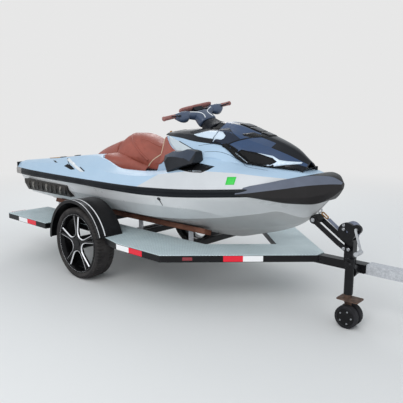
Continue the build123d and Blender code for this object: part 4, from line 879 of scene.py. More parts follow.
hood_surface = surface_of(hood)
gloss_black = coat_of("gloss_black", colour(12, 13, 16), colour(8, 9, 11), 0.22, coat=0.1, film=0.01)
vent_black = coat_of("vent_black", colour(12, 12, 14), colour(7, 7, 9), 0.5, pebble=0.4)
pale_blade = coat_of("pale_blade", colour(222, 236, 248), colour(206, 224, 240), 0.28, coat=0.3, film=0.03)
slate_corner = coat_of("slate_corner", colour(42, 50, 66), colour(32, 39, 53), 0.36, pebble=0.2, film=0.02)
for lay, name, finish, sizes, points in (
    (
        inlay, "hood_side_vent", vent_black, (0.0055, 0.0085),
        [
            (1.276, 1.124), (1.304, 1.140), (1.418, 1.121), (1.535, 1.088), (1.566, 1.064), (1.516, 1.032),
            (1.400, 1.046),
        ],
    ),
    (bead, "hood_vent_edge", pale_blade, (0.0018, 0.0068), [(1.262, 1.116), (1.322, 1.079), (1.380, 1.043)]),
    (
        inlay, "hood_blade", pale_blade, (0.0030, 0.006),
        [
            (1.418, 1.122), (1.530, 1.104), (1.577, 1.078), (1.627, 1.070), (1.712, 1.064), (1.712, 1.054),
            (1.620, 1.044), (1.516, 1.026), (1.570, 1.064), (1.535, 1.090),
        ],
    ),
    (
        inlay, "hood_recess", gloss_black, (0.0015,),
        [(1.245, 1.250), (1.300, 1.262), (1.372, 1.244), (1.430, 1.232), (1.329, 1.224), (1.268, 1.238)],
    ),
    (
        inlay, "hood_cowl_corner", slate_corner, (0.0010,),
        [
            (1.050, 1.19), (1.050, 1.285), (1.120, 1.290), (1.257, 1.217), (1.242, 1.204), (1.150, 1.160),
            (1.12, 1.178),
        ],
    ),
    (
        bead, "hood_split", vent_black, (0.009, 0.002),
        [(1.325, 1.226), (1.255, 1.210), (1.190, 1.176), (1.150, 1.152)],
    ),
    (bead, "hood_slash", vent_black, (0.016, 0.002), [(1.275, 1.130), (1.215, 1.165), (1.165, 1.176)]),
    (
        bead, "hood_foot_moulding", gloss_black, (0.026, 0.0030),
        [
            (1.06, 1.184), (1.15, 1.172), (1.210, 1.140), (1.29, 1.080), (1.40, 1.040), (1.50, 1.030),
            (1.66, 1.018), (1.735, 1.012),
        ],
    ),
    (
        bead, "hood_chin_band", gloss_black, (0.024, 0.0015),
        [(1.22, 1.150), (1.29, 1.100), (1.38, 1.052), (1.50, 1.040), (1.62, 1.036)],
    ),
):
    lay(name, points, hood_surface, finish, *sizes, body="front_hood")
for n, (x0, x1, half) in enumerate(((1.155, 1.235, 0.060), (1.245, 1.335, 0.056), (1.345, 1.42, 0.050))):
    inlay(
        f"hood_top_louvre_{n}", [(x0, -half), (x1, -half * 0.9), (x1, half * 0.9), (x0, half)],
        hood_surface, gloss_black, 0.006, 0.010, sides=(1,), from_above=True, body="front_hood",
    )

# Hood hinge: two moulded ears of black plastic screwed to the deck at the hatch's nose, with a steel pin
# through them.
dress(console_plastic, "hood_hinge", edge=0.002)

# Deck trim: rear vents and pale flashes let into the gunwale, the dark inlets ahead of the pods, a pale panel
# by the knee, the gaps between the mouldings and a blank green tag stuck on the bow.
deck_surface = surface_of(deck)
gap_black = coat_of("gap_black", colour(40, 52, 66), colour(30, 40, 52), 0.5)
white_flash = coat_of("white_flash", colour(236, 240, 242), colour(226, 231, 234), 0.28, coat=0.5)
green_tag = coat_of("green_tag", colour(60, 215, 80), colour(52, 200, 70), 0.4, drift=30)
side_grey = coat_of("side_grey", colour(214, 224, 228), colour(200, 212, 217), 0.30, coat=0.2, film=0.03)
for lay, name, finish, sizes, points in (
    (
        inlay, "rear_vent", vent_black, (0.001,),
        [(-0.518, 0.913), (-0.476, 0.935), (-0.400, 0.920), (-0.315, 0.899), (-0.377, 0.890)],
    ),
    (
        inlay, "rear_flash", white_flash, (0.0014,),
        [
            (-0.584, 0.965), (-0.575, 0.978), (-0.396, 0.950), (-0.268, 0.918), (-0.167, 0.888),
            (-0.225, 0.885), (-0.307, 0.906), (-0.432, 0.940),
        ],
    ),
    (
        bead, "rear_flash_edge", vent_black, (0.006, 0.001),
        [(-0.600, 0.975), (-0.435, 0.931), (-0.325, 0.898)],
    ),
    (bead, "rear_flash_tail", vent_black, (0.009, 0.002), [(-0.255, 0.922), (-0.165, 0.894)]),
    (
        inlay, "rear_slot", vent_black, (0.001,),
        [(-0.816, 0.942), (-0.745, 0.942), (-0.665, 0.930), (-0.725, 0.932)],
    ),
    (
        inlay, "deck_inlet", gloss_black, (0.0015,),
        [
            (0.86, 0.985), (0.90, 1.030), (0.99, 1.038), (1.08, 1.034), (1.185, 1.021), (1.165, 0.998),
            (1.128, 0.978), (1.05, 0.976), (0.93, 0.982),
        ],
    ),
    (
        inlay, "deck_inlet_mouth", vent_black, (0.004, 0.007),
        [(1.035, 1.026), (1.119, 1.024), (1.172, 1.012), (1.144, 0.992), (1.038, 0.992)],
    ),
    (
        inlay, "knee_light", side_grey, (0.0008, 0.002),
        [
            (0.50, 1.214), (0.60, 1.200), (0.714, 1.176), (0.828, 1.151), (0.935, 1.124), (0.846, 1.110),
            (0.774, 1.100), (0.690, 1.100), (0.56, 1.160),
        ],
    ),
    (
        bead, "knee_gap", gap_black, (0.006, 0.0012),
        [(0.700, 1.180), (0.828, 1.151), (0.935, 1.124), (0.957, 1.112), (0.957, 1.070)],
    ),
    (
        bead, "cowl_gap", gap_black, (0.003,),
        [
            (1.03, 1.115), (1.12, 1.126), (1.205, 1.108), (1.286, 1.066), (1.36, 1.030), (1.43, 1.018),
            (1.54, 1.008),
        ],
    ),
    (bead, "brow_gap", gap_black, (0.003,), [(0.945, 1.155), (1.006, 1.172), (1.090, 1.174)]),
    (
        inlay, "green_tag", green_tag, (0.0008, 0.0015),
        [(1.335, 0.908), (1.395, 0.912), (1.392, 0.964), (1.330, 0.960)],
    ),
):
    lay(name, points, deck_surface, finish, *sizes)

# Hull trim: the cooling water's outlet under the rail on each side, a dark plastic ring pressed into the
# shell, with the streak that it leaves.
def turned_ring(radius, count):
    """The points of a turned piece's ring, about its own middle."""
    turns = [math.tau * i / count for i in range(count)]
    return [(radius * math.cos(a), radius * math.sin(a)) for a in turns]


hull_surface = surface_of(hull)
outlet_dark = coat_of("outlet_dark", colour(58, 60, 64), colour(44, 46, 50), 0.5, film=0.1)
outlet_x, outlet_z = 0.803, 0.762
outlet = [(outlet_x + 0.016 * u, outlet_z + 0.012 * v) for u, v in turned_ring(1.0, 14)]
inlay("water_outlet", outlet, hull_surface, outlet_dark, 0.003, 0.006)
inlay(
    "outlet_streak", [(0.797, 0.756), (0.809, 0.756), (0.820, 0.712), (0.815, 0.706)], hull_surface,
    outlet_dark, 0.0006, 0.001,
)

# Sponsons: ribbed fins of grey plastic bolted along the after hull sides, which hold the craft in a turn.
# Every third rib is painted pale, a painted highlight where the light catches its edge.
sponson_plastic = coat_of(
    "sponson_plastic", colour(66, 62, 58), colour(22, 21, 21), 0.45, drift=26, pebble=0.5, film=0.1,
)
# Painted highlight: the grey plastic lightened for the ribs that catch the light.
sponson_painted_highlight = coat_of(
    "sponson_painted_highlight", colour(150, 145, 138), colour(70, 66, 62), 0.5, drift=40, pebble=0.4, film=0.1,
)
dress(sponson_plastic, "sponsons", edge=0.004)
sponson_surface = surface_of(nodes["sponsons"])
rib_start, rib_pitch, rib_count = -1.140, 0.080, 9
for n in range(rib_count):
    x = rib_start + n * rib_pitch
    inlay(
        f"sponson_rib_{n}", [(x, 0.648), (x + 0.026, 0.648), (x + 0.070, 0.722), (x + 0.044, 0.722)],
        sponson_surface, sponson_painted_highlight if n % 3 == 1 else sponson_plastic, 0.007, 0.011, fine=0.05,
    )

# Side pods: the dark moulded wings ahead of the knees, hollow plastic screwed to the cowl's flanks over the
# air inlets. Their upper facet is painted a lighter slate, a painted highlight where the light falls on it.
# The lighter material is a painted highlight on each pod's upper facet; the darker one is the pods' own
# plastic.
pod_painted_highlight = coat_of("pod_painted_highlight", colour(66, 75, 90), colour(52, 59, 72), 0.36, pebble=0.3, film=0.02)
pod_dark = coat_of("pod_dark", colour(42, 44, 49), colour(27, 29, 33), 0.40, pebble=0.4, film=0.02)
pod_rim = [
    (0.717, 0.450, 1.078), (0.808, 0.445, 1.116), (0.878, 0.440, 1.116), (0.945, 0.440, 1.136),
    (1.008, 0.440, 1.131), (1.038, 0.440, 1.124), (1.053, 0.500, 1.042), (0.901, 0.500, 0.990),
    (0.800, 0.505, 0.950), (0.745, 0.490, 1.040),
]
pod_ridge = [
    (0.792, 0.492, 1.072), (0.838, 0.494, 1.078), (0.887, 0.495, 1.078), (0.963, 0.495, 1.072),
    (0.995, 0.490, 1.062), (1.015, 0.490, 1.052), (1.030, 0.512, 1.036), (0.905, 0.520, 1.000),
    (0.815, 0.520, 0.965), (0.780, 0.512, 1.040),
]
for side, end in side_names.items():
    pod = bmesh.new()
    deep = [pod.verts.new(at(x, side * 0.370, z)) for x, y, z in pod_rim]
    low = [pod.verts.new(at(x, side * y, z)) for x, y, z in pod_rim]
    high = [pod.verts.new(at(x, side * y, z)) for x, y, z in pod_ridge]
    for a, b in ((deep, low), (low, high)):
        for i in range(len(a)):
            face = pod.faces.new((a[i], a[(i + 1) % len(a)], b[(i + 1) % len(a)], b[i]))
            face.material_index = 0 if a is low and i < 5 else 1
    for i in range(4):
        face = pod.faces.new((high[i], high[i + 1], high[8 - i], high[9 - i]))
        face.material_index = 1
    pod.faces.new(deep).material_index = 1
    bmesh.ops.recalc_face_normals(pod, faces=pod.faces)
    for face in pod.faces:
        face.smooth = True
    piece = solid(f"side_pod_{end}", pod, pod_painted_highlight, pod_dark, slot="console_plastic")
    eased = piece.modifiers.new("eased", "BEVEL")
    eased.width = 0.005
    eased.segments = 2
    piece.modifiers.new("flats", "WEIGHTED_NORMAL")
    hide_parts("side_pods")

# Console trim: the pale side blades clipped to the cover, grey rubber switch pads, a brass ring at each rear
# corner and the display under dark glass.
console_surface = surface_of(console)
inlay(
    "console_blade",
    [
        (0.840, 1.236), (0.885, 1.248), (0.957, 1.266), (1.043, 1.268), (1.043, 1.210), (0.968, 1.216),
        (0.890, 1.226),
    ],
    console_surface, pale_blade, 0.004, 0.006,
)
inlay(
    "hood_blade_rear",
    [(1.046, 1.268), (1.098, 1.261), (1.136, 1.236), (1.134, 1.216), (1.114, 1.206), (1.046, 1.210)],
    hood_surface, pale_blade, 0.004, 0.006, body="front_hood",
)
brass_ring = coat_of("brass_ring", colour(214, 158, 84), colour(180, 120, 60), 0.3, drift=80, metal=0.7)
inlay(
    "console_ring",
    [(0.446 + u, 0.110 + v) for u, v in turned_ring(0.010, 12)],
    console_surface, brass_ring, 0.010, 0.012, from_above=True, fine=0.05,
)
switch_grey = coat_of("switch_grey", colour(176, 176, 178), colour(150, 150, 154), 0.45, pebble=0.2)
pad_start, pad_pitch, pad_count = 0.470, 0.034, 4
for n in range(pad_count):
    x = pad_start + n * pad_pitch
    inlay(
        f"switch_pad_{n}", [(x, 0.070), (x + 0.022, 0.072), (x + 0.022, 0.105), (x, 0.101)], console_surface,
        switch_grey, 0.003, 0.006, from_above=True,
    )
screen_glass = coat_of("screen_glass", colour(12, 14, 18), colour(8, 9, 12), 0.08, coat=1.0)
dress(screen_glass, "display", edge=0.003)

# Seats: two saddles of moulded foam on plastic bases, under brown leathercloth that is sewn in panels, piped
# in cream and stapled below. The same cloth covers the cowl's flanks beside the knees.
seat_vinyl = coat_of(
    "seat_vinyl", colour(168, 88, 72), colour(148, 75, 60), 0.46, drift=7, pebble=0.35, pebble_scale=420,
    film=0.03,
)
piping_cream = coat_of("piping_cream", colour(222, 206, 176), colour(206, 188, 158), 0.55, pebble=0.3)
passenger_lines = {
    "foot": [(-0.632, 0.140, 0.908), (-0.475, 0.208, 0.908), (-0.230, 0.228, 0.908), (-0.182, 0.230, 0.908)],
    "waist": [(-0.632, 0.158, 0.938), (-0.475, 0.222, 0.972), (-0.230, 0.238, 1.000), (-0.182, 0.240, 1.006)],
    "side": [(-0.632, 0.132, 0.958), (-0.475, 0.186, 1.018), (-0.230, 0.202, 1.080), (-0.182, 0.204, 1.096)],
    "edge": [(-0.632, 0.088, 0.972), (-0.475, 0.120, 1.050), (-0.230, 0.134, 1.128), (-0.182, 0.134, 1.142)],
    "crown": [
        (-0.632, 0.040, 0.985), (-0.475, 0.060, 1.066), (-0.300, 0.065, 1.124), (-0.230, 0.065, 1.146),
        (-0.182, 0.065, 1.160),
    ],
}
driver_lines = {
    "foot": [
        (-0.172, 0.230, 0.908), (-0.030, 0.224, 0.908), (0.140, 0.208, 0.908), (0.260, 0.188, 0.908),
        (0.376, 0.144, 0.908),
    ],
    "waist": [
        (-0.172, 0.240, 1.006), (-0.030, 0.236, 1.010), (0.140, 0.214, 1.005), (0.260, 0.188, 0.995),
        (0.376, 0.150, 0.985),
    ],
    "side": [
        (-0.172, 0.204, 1.100), (-0.030, 0.196, 1.112), (0.140, 0.176, 1.094), (0.260, 0.156, 1.062),
        (0.376, 0.130, 1.040),
    ],
    "edge": [
        (-0.172, 0.132, 1.148), (-0.120, 0.132, 1.186), (-0.030, 0.124, 1.198), (0.140, 0.112, 1.166),
        (0.260, 0.100, 1.118), (0.376, 0.085, 1.090),
    ],
    "crown": [
        (-0.172, 0.065, 1.168), (-0.125, 0.065, 1.206), (-0.030, 0.060, 1.218), (0.060, 0.060, 1.208),
        (0.140, 0.055, 1.184), (0.260, 0.050, 1.132), (0.376, 0.042, 1.104),
    ],
}


def swell(piece, pressure, cap):
    """Foam pushed out under its cover: a skin blown a little by cloth simulation, and kept within cap."""
    bpy.context.view_layer.update()
    remesh = piece.modifiers.new("skin", "REMESH")
    remesh.mode = "VOXEL"
    remesh.voxel_size = 0.006
    remesh.use_smooth_shade = True
    depsgraph = bpy.context.evaluated_depsgraph_get()
    skin = bpy.data.meshes.new_from_object(piece.evaluated_get(depsgraph))
    piece.modifiers.clear()
    finish = piece.data.materials[0]
    piece.data = skin
    piece.data.materials.clear()
    piece.data.materials.append(finish)
    before = [v.co.copy() for v in skin.vertices]
    cloth = piece.modifiers.new("cover", "CLOTH")
    cloth.settings.use_pressure = True
    cloth.settings.uniform_pressure_force = pressure
    cloth.settings.effector_weights.gravity = 0.0
    cloth.settings.tension_stiffness = 30
    cloth.settings.compression_stiffness = 30
    cloth.settings.bending_stiffness = 4
    cloth.collision_settings.use_collision = False
    for step in range(1, 21):
        bpy.context.scene.frame_set(step)
    depsgraph = bpy.context.evaluated_depsgraph_get()
    blown = [v.co.copy() for v in piece.evaluated_get(depsgraph).data.vertices]
    piece.modifiers.clear()
    for v, old, new in zip(skin.vertices, before, blown):
        push = new - old
        v.co = old + (push if push.length <= cap else push * (cap / push.length))
    bpy.context.scene.frame_set(1)
    smooth = piece.modifiers.new("cover", "SMOOTH")
    smooth.factor = 0.5
    smooth.iterations = 3


seat_pieces = {}
for name, lines in (("seat_passenger", passenger_lines), ("seat_driver", driver_lines)):
    start, end = lines["foot"][0][0], lines["foot"][-1][0]

    def seat_row(x, lines=lines):
        row = [fair(lines[key], x) for key in ("foot", "waist", "side", "edge", "crown")]
        return [(0, row[0][1]), (row[0][0] * 0.5, row[0][1])] + row + [(0, row[-1][1] + 0.002)]

    seat = shell(name + "_cushion", seat_row, spaced(start, end, 0.05), {2: 0.5, 3: 0.2}, caps=(0, -1))
    for edge_layer in seat.data.attributes:
        if edge_layer.name == "crease_edge":
            edge_layer.data.foreach_set("value", [min(d.value, 0.45) for d in edge_layer.data])
    seat.data.materials.append(seat_vinyl)
    swell(seat, 4.0, 0.007)
    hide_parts(name)
    seat_pieces[name] = seat

driver_surface = surface_of(seat_pieces["seat_driver"])
passenger_surface = surface_of(seat_pieces["seat_passenger"])


def seam(name, route, surface, finish, radius):
    """A sewn seam or a line of piping, drawn to the nearest skin along a route of points."""
    data = smooth_line(name, [surface.find_nearest(at(*place))[0] for place in route])
    data.bevel_depth = radius
    data.bevel_resolution = 2
    data.materials.append(finish)
    made(name, data)


seat_lines = (
    (
        "bolster_roll", driver_surface, seat_vinyl, 0.011,
        [
            (-0.125, 0.0, 1.22), (-0.105, 0.070, 1.215), (-0.056, 0.138, 1.186), (0.018, 0.170, 1.142),
            (0.099, 0.195, 1.083), (0.171, 0.205, 1.034), (0.240, 0.205, 0.990),
        ],
    ),
    (
        "inner_seam", driver_surface, seat_vinyl, 0.004,
        [
            (0.060, 0.0, 1.22), (0.066, 0.075, 1.205), (0.080, 0.130, 1.165), (0.122, 0.160, 1.119),
            (0.174, 0.171, 1.086),
        ],
    ),
    (
        "saddle_seam", driver_surface, seat_vinyl, 0.004,
        [
            (0.071, 0.126, 1.175), (0.127, 0.115, 1.170), (0.190, 0.106, 1.145), (0.270, 0.096, 1.116),
            (0.360, 0.080, 1.090),
        ],
    ),
    (
        "nose_piping", driver_surface, piping_cream, 0.0045,
        [
            (0.378, 0.030, 1.110), (0.376, 0.085, 1.085), (0.350, 0.130, 1.050), (0.302, 0.165, 1.012),
            (0.262, 0.185, 0.975), (0.232, 0.197, 0.930),
        ],
    ),
    (
        "passenger_seam", passenger_surface, seat_vinyl, 0.003,
        [(-0.575, 0.110, 1.00), (-0.45, 0.130, 1.052), (-0.33, 0.140, 1.09), (-0.20, 0.148, 1.13)],
    ),
    (
        "passenger_fold", passenger_surface, seat_vinyl, 0.003,
        [(-0.33, 0.145, 1.090), (-0.27, 0.200, 1.040), (-0.19, 0.232, 0.985)],
    ),
)
for side, end in side_names.items():
    for name, surface, finish, radius, route in seat_lines:
        seam(f"{name}_{end}", [(x, side * y, z) for x, y, z in route], surface, finish, radius)
inlay(
    "knee_wing",
    [
        (0.440, 1.212), (0.470, 1.200), (0.560, 1.150), (0.612, 1.124), (0.683, 1.101), (0.622, 1.077),
        (0.546, 1.027), (0.483, 0.985), (0.4415, 0.972),
    ],
    deck_surface, seat_vinyl, 0.006, 0.010,
)
bead(
    "wing_piping", [(0.444, 1.062), (0.444, 1.090), (0.446, 1.130), (0.446, 1.206)], deck_surface,
    piping_cream, 0.006, 0.009,
)
flank_top = [
    (-0.150, 0.262, 1.036), (-0.050, 0.262, 1.022), (0.050, 0.262, 0.992), (0.140, 0.262, 0.965),
    (0.300, 0.262, 0.936),
]
flank_edge = [
    (-0.150, 0.418, 1.018), (-0.120, 0.405, 1.006), (-0.080, 0.372, 0.984), (-0.030, 0.335, 0.962),
    (0.040, 0.306, 0.942), (0.140, 0.292, 0.915), (0.300, 0.288, 0.900),
]


def flank_row(x):
    """The leathercloth beside a saddle, from its foot across the trench's rear corner to the gunwale."""
    (y0, z0), (y1, z1) = fair(flank_top, x), fair(flank_edge, x)
    return [
        (y0 - 0.028, z0 + 0.010), (y0, z0), ((y0 + y1) / 2 + 0.004, z0 * 0.45 + z1 * 0.55 + 0.012), (y1, z1),
        (y1 - 0.003, z1 - 0.070),
    ]


flank = shell("seat_flanks", flank_row, spaced(-0.150, 0.300, 0.045))
walled(flank, 0.008)
finished(flank, "seat_vinyl", seat_vinyl)

# Knee pad: the upholstered end of the console, a foam panel under the seats' leathercloth, clipped to the
# cowl where it faces the driver.
def joined(shape, rings):
    """Faces between closed rings of vertices."""
    for near, far in zip(rings, rings[1:]):
        for i in range(len(near)):
            shape.faces.new((near[i], near[(i + 1) % len(near)], far[(i + 1) % len(near)], far[i]))


pad_front_x, pad_rear_x = 0.428, 0.390
pad_outline = [(0.140, 0.964), (0.180, 1.000), (0.164, 1.110), (0.142, 1.214)]
knee = bmesh.new()
knee_rings = []
pad_middle = 1.09
for x, scale in ((pad_front_x, 1.0), ((pad_front_x + pad_rear_x) / 2, 0.99), (pad_rear_x, 0.93)):
    outline = pad_outline + [(-y, z) for y, z in reversed(pad_outline)]
    spots = [at(x, y * scale, pad_middle + (z - pad_middle) * scale) for y, z in outline]
    knee_rings.append([knee.verts.new(spot) for spot in spots])
joined(knee, knee_rings)
for ring in (knee_rings[0], knee_rings[-1]):
    for i in range(3):
        knee.faces.new((ring[i], ring[i + 1], ring[6 - i], ring[7 - i]))
bmesh.ops.recalc_face_normals(knee, faces=knee.faces)
for face in knee.faces:
    face.smooth = True
knee_pad = solid("knee_pad_cushion", knee, seat_vinyl)
knee_round = knee_pad.modifiers.new("fairing", "SUBSURF")
knee_round.levels = knee_round.render_levels = 3
swell(knee_pad, 3.0, 0.004)
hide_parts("knee_pad")

# Mats: tan closed-cell foam glued on the rear platform and in the foot trenches, cut with fine slanting
# grooves. Two moulded cleats stand on each side of the rear ones.
def grooved(name, light, dark, pitch, depth, rough):
    """Foam with parallel grooves, drawn as a height."""
    material = coat_of(name, light, dark, rough, drift=12, film=0.25)
    tree = material.node_tree
    place = wired(tree, "TexCoord")
    turned = wired(tree, "Mapping", {"Vector": place.outputs["Object"], "Rotation": (0, 0, math.radians(35))})
    wave = wired(tree, "TexWave", {"Vector": turned.outputs["Vector"], "Scale": 0.5 / pitch / math.pi})
    bumped(material, wave.outputs["Fac"], 0.8, depth)
    return material


mat_tan = grooved("mat_tan", colour(196, 152, 98), colour(178, 134, 84), 0.012, 0.002, 0.75)
dress(mat_tan, "rear_mats", "foot_mats", edge=0.002)
cleat_top = surface_of(deck)
for n, (x, y) in enumerate(((-1.05, 0.235), (-0.78, 0.240))):
    outline_of_cleat = [
        (x - 0.040, y - 0.014), (x + 0.040, y - 0.014), (x + 0.030, y + 0.016), (x - 0.030, y + 0.016),
    ]
    inlay(
        f"deck_cleat_{n}", outline_of_cleat, cleat_top, console_plastic, 0.014, 0.018, from_above=True,
        fine=0.05,
    )

# Steering: a moulded slate neck and yoke on the column, the steel bar with its rubber grips, levers and
# switch housings, and a foam pad strapped over the yoke.
bar_lean, bar_turn = math.radians(50), math.radians(-14.5)
column_up = Vector((-math.sin(bar_lean), 0, math.cos(bar_lean)))
bar_out = Vector((0, 1, 0)) * math.cos(bar_turn) + column_up.cross(Vector((0, 1, 0))) * math.sin(bar_turn)
bar_down = column_up.cross(bar_out)
bar_frame = Matrix.Translation(at(0.660, 0, 1.424)) @ Matrix(
    (bar_out, bar_down, column_up)
).transposed().to_4x4()


def ringed(name, rings, finish, slot, body, creases=(), levels=2, into=None, closed_ends=True):
    """A skin over closed rings of points, such as a moulding or a turned part, in its own frame."""
    skin = bmesh.new()
    crease = skin.edges.layers.float.new("crease_edge")
    rows = [[skin.verts.new(p) for p in ring] for ring in rings]
    joined(skin, rows)
    if closed_ends:
        for ring in (rows[0], rows[-1]):
            for edge in skin.faces.new(ring).edges:
                edge[crease] = 0.7
    for i in creases:
        for near, far in zip(rows, rows[1:]):
            skin.edges.get((near[i], far[i]))[crease] = 0.7
    bmesh.ops.recalc_face_normals(skin, faces=skin.faces)
    for face in skin.faces:
        face.smooth = True
    piece = solid(name, skin, finish, body=body, slot=slot)
    if into:
        piece.data.transform(into)
    if levels:
        fairing = piece.modifiers.new("fairing", "SUBSURF")
        fairing.levels = fairing.render_levels = levels
    return piece


slate_plastic = coat_of(
    "slate_plastic", colour(76, 90, 114), colour(58, 70, 92), 0.34, coat=0.1, pebble=0.2, film=0.02,
)
slate_dark = coat_of("slate_dark", colour(26, 29, 36), colour(17, 19, 25), 0.40, pebble=0.3, film=0.01)


def rounded_ring(half_u, half_v, up, power=0.7):
    """A ring of twelve points round the column, between an ellipse and a rectangle."""
    turns = (math.tau * (i + 0.5) / 12 for i in range(12))
    return [
        (
            half_u * math.copysign(abs(math.cos(a)) ** power, math.cos(a)),
            half_v * math.copysign(abs(math.sin(a)) ** power, math.sin(a)), up,
        )
        for a in turns
    ]


neck_sizes = (
    (-0.149, 0.078, 0.050), (-0.140, 0.084, 0.056), (-0.105, 0.082, 0.054), (-0.070, 0.080, 0.046),
    (-0.045, 0.084, 0.040), (-0.030, 0.088, 0.036),
)
neck = ringed(
    "steering_neck_moulding", [rounded_ring(u, v, w, 0.6) for w, u, v in neck_sizes], slate_plastic,
    "slate_plastic", "steering", into=bar_frame,
)
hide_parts("steering_neck")
collar_sizes = (
    (-0.262, 0.105, 0.100), (-0.240, 0.098, 0.088), (-0.210, 0.086, 0.070), (-0.170, 0.078, 0.058),
    (-0.156, 0.072, 0.052),
)
collar = ringed(
    "column_collar", [rounded_ring(u, v, w) for w, u, v in collar_sizes], slate_dark, "console_plastic",
    "root", into=bar_frame,
)
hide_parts("console")
def bar_section(out, half_v, low, high, outline):
    """A moulding's section across the bar, stretched from an outline of unit size."""
    return [(out, half_v * v, (high + low) / 2 + (high - low) / 2 * w) for v, w in outline]


yoke_outline = (
    (1.0, -0.4), (0.95, 0.5), (0.5, 1.0), (-0.5, 1.0), (-0.95, 0.5), (-1.0, -0.4), (-0.5, -1.0), (0.5, -1.0),
)
yoke_rings = []
for out in (-0.132, -0.108, -0.078, -0.040, 0.0, 0.040, 0.078, 0.108, 0.132):
    share = abs(out) / 0.132
    half_v, low, high = 0.044 - 0.014 * share, -0.100 + 0.050 * share, -0.050 + 0.052 * share
    yoke_rings.append(bar_section(out, half_v, low, high, yoke_outline))
yoke = ringed(
    "yoke_moulding", yoke_rings, slate_plastic, "slate_plastic", "steering", creases=range(8), levels=1,
    into=bar_frame,
)
grip_brown = coat_of(
    "grip_brown", colour(166, 112, 106), colour(142, 94, 90), 0.6, drift=20, pebble=0.5, film=0.04,
)
housing_outline = (
    (1.0, 0.1), (0.9, 0.6), (0.5, 1.0), (-0.5, 1.0), (-0.9, 0.6), (-1.0, 0.1), (-0.55, -1.0), (0.55, -1.0),
)
for side, end in side_names.items():
    housing_rings = []
    for out, half_v, low, high in (
        (0.100, 0.022, -0.030, 0.004), (0.128, 0.034, -0.058, 0.016), (0.172, 0.040, -0.082, 0.020),
        (0.222, 0.034, -0.068, 0.014), (0.246, 0.024, -0.036, 0.010),
    ):
        housing_rings.append(bar_section(side * out, half_v, low, high, housing_outline))
    housing = ringed(
        f"bar_housing_{end}", housing_rings, slate_plastic, "slate_plastic", "steering", creases=range(8),
        levels=1, into=bar_frame,
    )
    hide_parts("bar_housings")
    grip_rings = []
    for out, radius in (
        (0.237, 0.0150), (0.239, 0.0172), (0.250, 0.0172), (0.252, 0.0158), (0.256, 0.0158), (0.258, 0.0172),
        (0.300, 0.0176), (0.346, 0.0172), (0.349, 0.0198), (0.361, 0.0198), (0.364, 0.0160),
    ):
        grip_rings.append([(side * out, u, v) for u, v in turned_ring(radius, 20)])
    grip = ringed(f"grip_{end}", grip_rings, grip_brown, "grip_brown", "steering", levels=1, into=bar_frame)
    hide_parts("grips")
    lever_rings = []
    for out, ahead, drop, half in (
        (0.215, -0.028, -0.032, 0.009), (0.250, -0.040, -0.038, 0.008), (0.285, -0.044, -0.036, 0.007),
        (0.312, -0.040, -0.032, 0.006),
    ):
        lever_rings.append(
            [
                (side * out, ahead + v, drop + w)
                for v, w in ((-0.004, -half), (0.004, -half), (0.004, half), (-0.004, half))
            ]
        )
    ringed(f"lever_{end}", lever_rings, slate_dark, "slate_plastic", "steering", into=bar_frame)
dress(slate_dark, "handlebar", edge=0.002)
pad_rings = []
for out in (-0.165, -0.150, -0.10, -0.05, 0.0, 0.05, 0.10, 0.150, 0.165):
    swellness = 1.0 if abs(out) < 0.12 else 0.92 if abs(out) < 0.16 else 0.7
    pad_rings.append([(out, 0.030 * u, 0.044 + 0.0165 * v) for u, v in turned_ring(swellness, 16)])
bar_pad = ringed("bar_pad_cushion", pad_rings, grip_brown, "grip_brown", "steering", into=bar_frame)
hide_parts("bar_pad")

# Yoke trim: a white plastic band down each arm of the yoke and on over the neck, bonded into the moulding's
# groove.
yoke_surface, neck_surface = surface_of(yoke), surface_of(neck)
for side, end in side_names.items():
    hits = []
    for out, up in (
        (0.112, 0.004), (0.075, -0.020), (0.040, -0.048), (0.030, -0.080), (0.036, -0.112), (0.050, -0.142),
    ):
        aim = bar_frame @ Vector((side * out, -0.09, up))
        near = [tree.find_nearest(aim) for tree in (yoke_surface, neck_surface)]
        hits.append(min(near, key=lambda found: found[3])[0])
    band = smooth_line("yoke_band", hits)
    band.bevel_depth = 0.0042
    band.materials.append(white_flash)
    made(f"yoke_band_{end}", band, "steering")

# Jet pump and reverse gear: aluminium castings bolted up in the tunnel, a stainless impeller, the black
# reverse bucket and the intake grate. The plated tow eyes and the closed-in engine block are finished with
# them.
pump_alloy = coat_of(
    "pump_alloy", colour(150, 153, 156), colour(118, 121, 125), 0.42, drift=30, metal=0.8, pebble=0.3,
    film=0.15,
)
dress(pump_alloy, "pump_housing", "steering_nozzle", "ride_plate", "intake_grate", edge=0.002)
bucket_black = coat_of(
    "bucket_black", colour(44, 46, 50), colour(32, 34, 38), 0.5, drift=18, pebble=0.4, film=0.2,
)
dress(bucket_black, "reverse_bucket", edge=0.002)
stainless = coat_of("stainless", colour(196, 198, 200), colour(170, 172, 176), 0.24, drift=60, metal=1.0)
dress(stainless, "impeller", edge=0.001)
plated = coat_of("plated", colour(188, 190, 192), colour(160, 162, 166), 0.28, drift=80, metal=0.95, film=0.1)
dress(plated, "tow_eyes", edge=0.0015)
engine_grey = coat_of("engine_grey", colour(88, 90, 92), colour(60, 62, 64), 0.5, metal=0.4, pebble=0.3)
dress(engine_grey, "engine_block", edge=0.004)

# Trailer frame: square steel tube, welded and painted gloss black, with the tongue and cross members. Red and
# white reflective tape is stuck along its edges, and the lamps are screwed on at the stern.
frame_black = coat_of(
    "frame_black", colour(20, 20, 23), colour(12, 12, 14), 0.32, coat=0.05, drift=14, film=0.02,
)
dress(frame_black, "trailer_frame", "tongue", "cross_members", edge=0.004)
tape_white = coat_of("tape_white", colour(252, 252, 252), colour(242, 242, 244), 0.35, drift=200)
tape_red = coat_of("tape_red", colour(242, 22, 52), colour(226, 16, 44), 0.35, drift=200)
frame_side_y = 0.820
frame_shoulder, frame_nose = (1.041, frame_side_y), (1.856, 0.045)


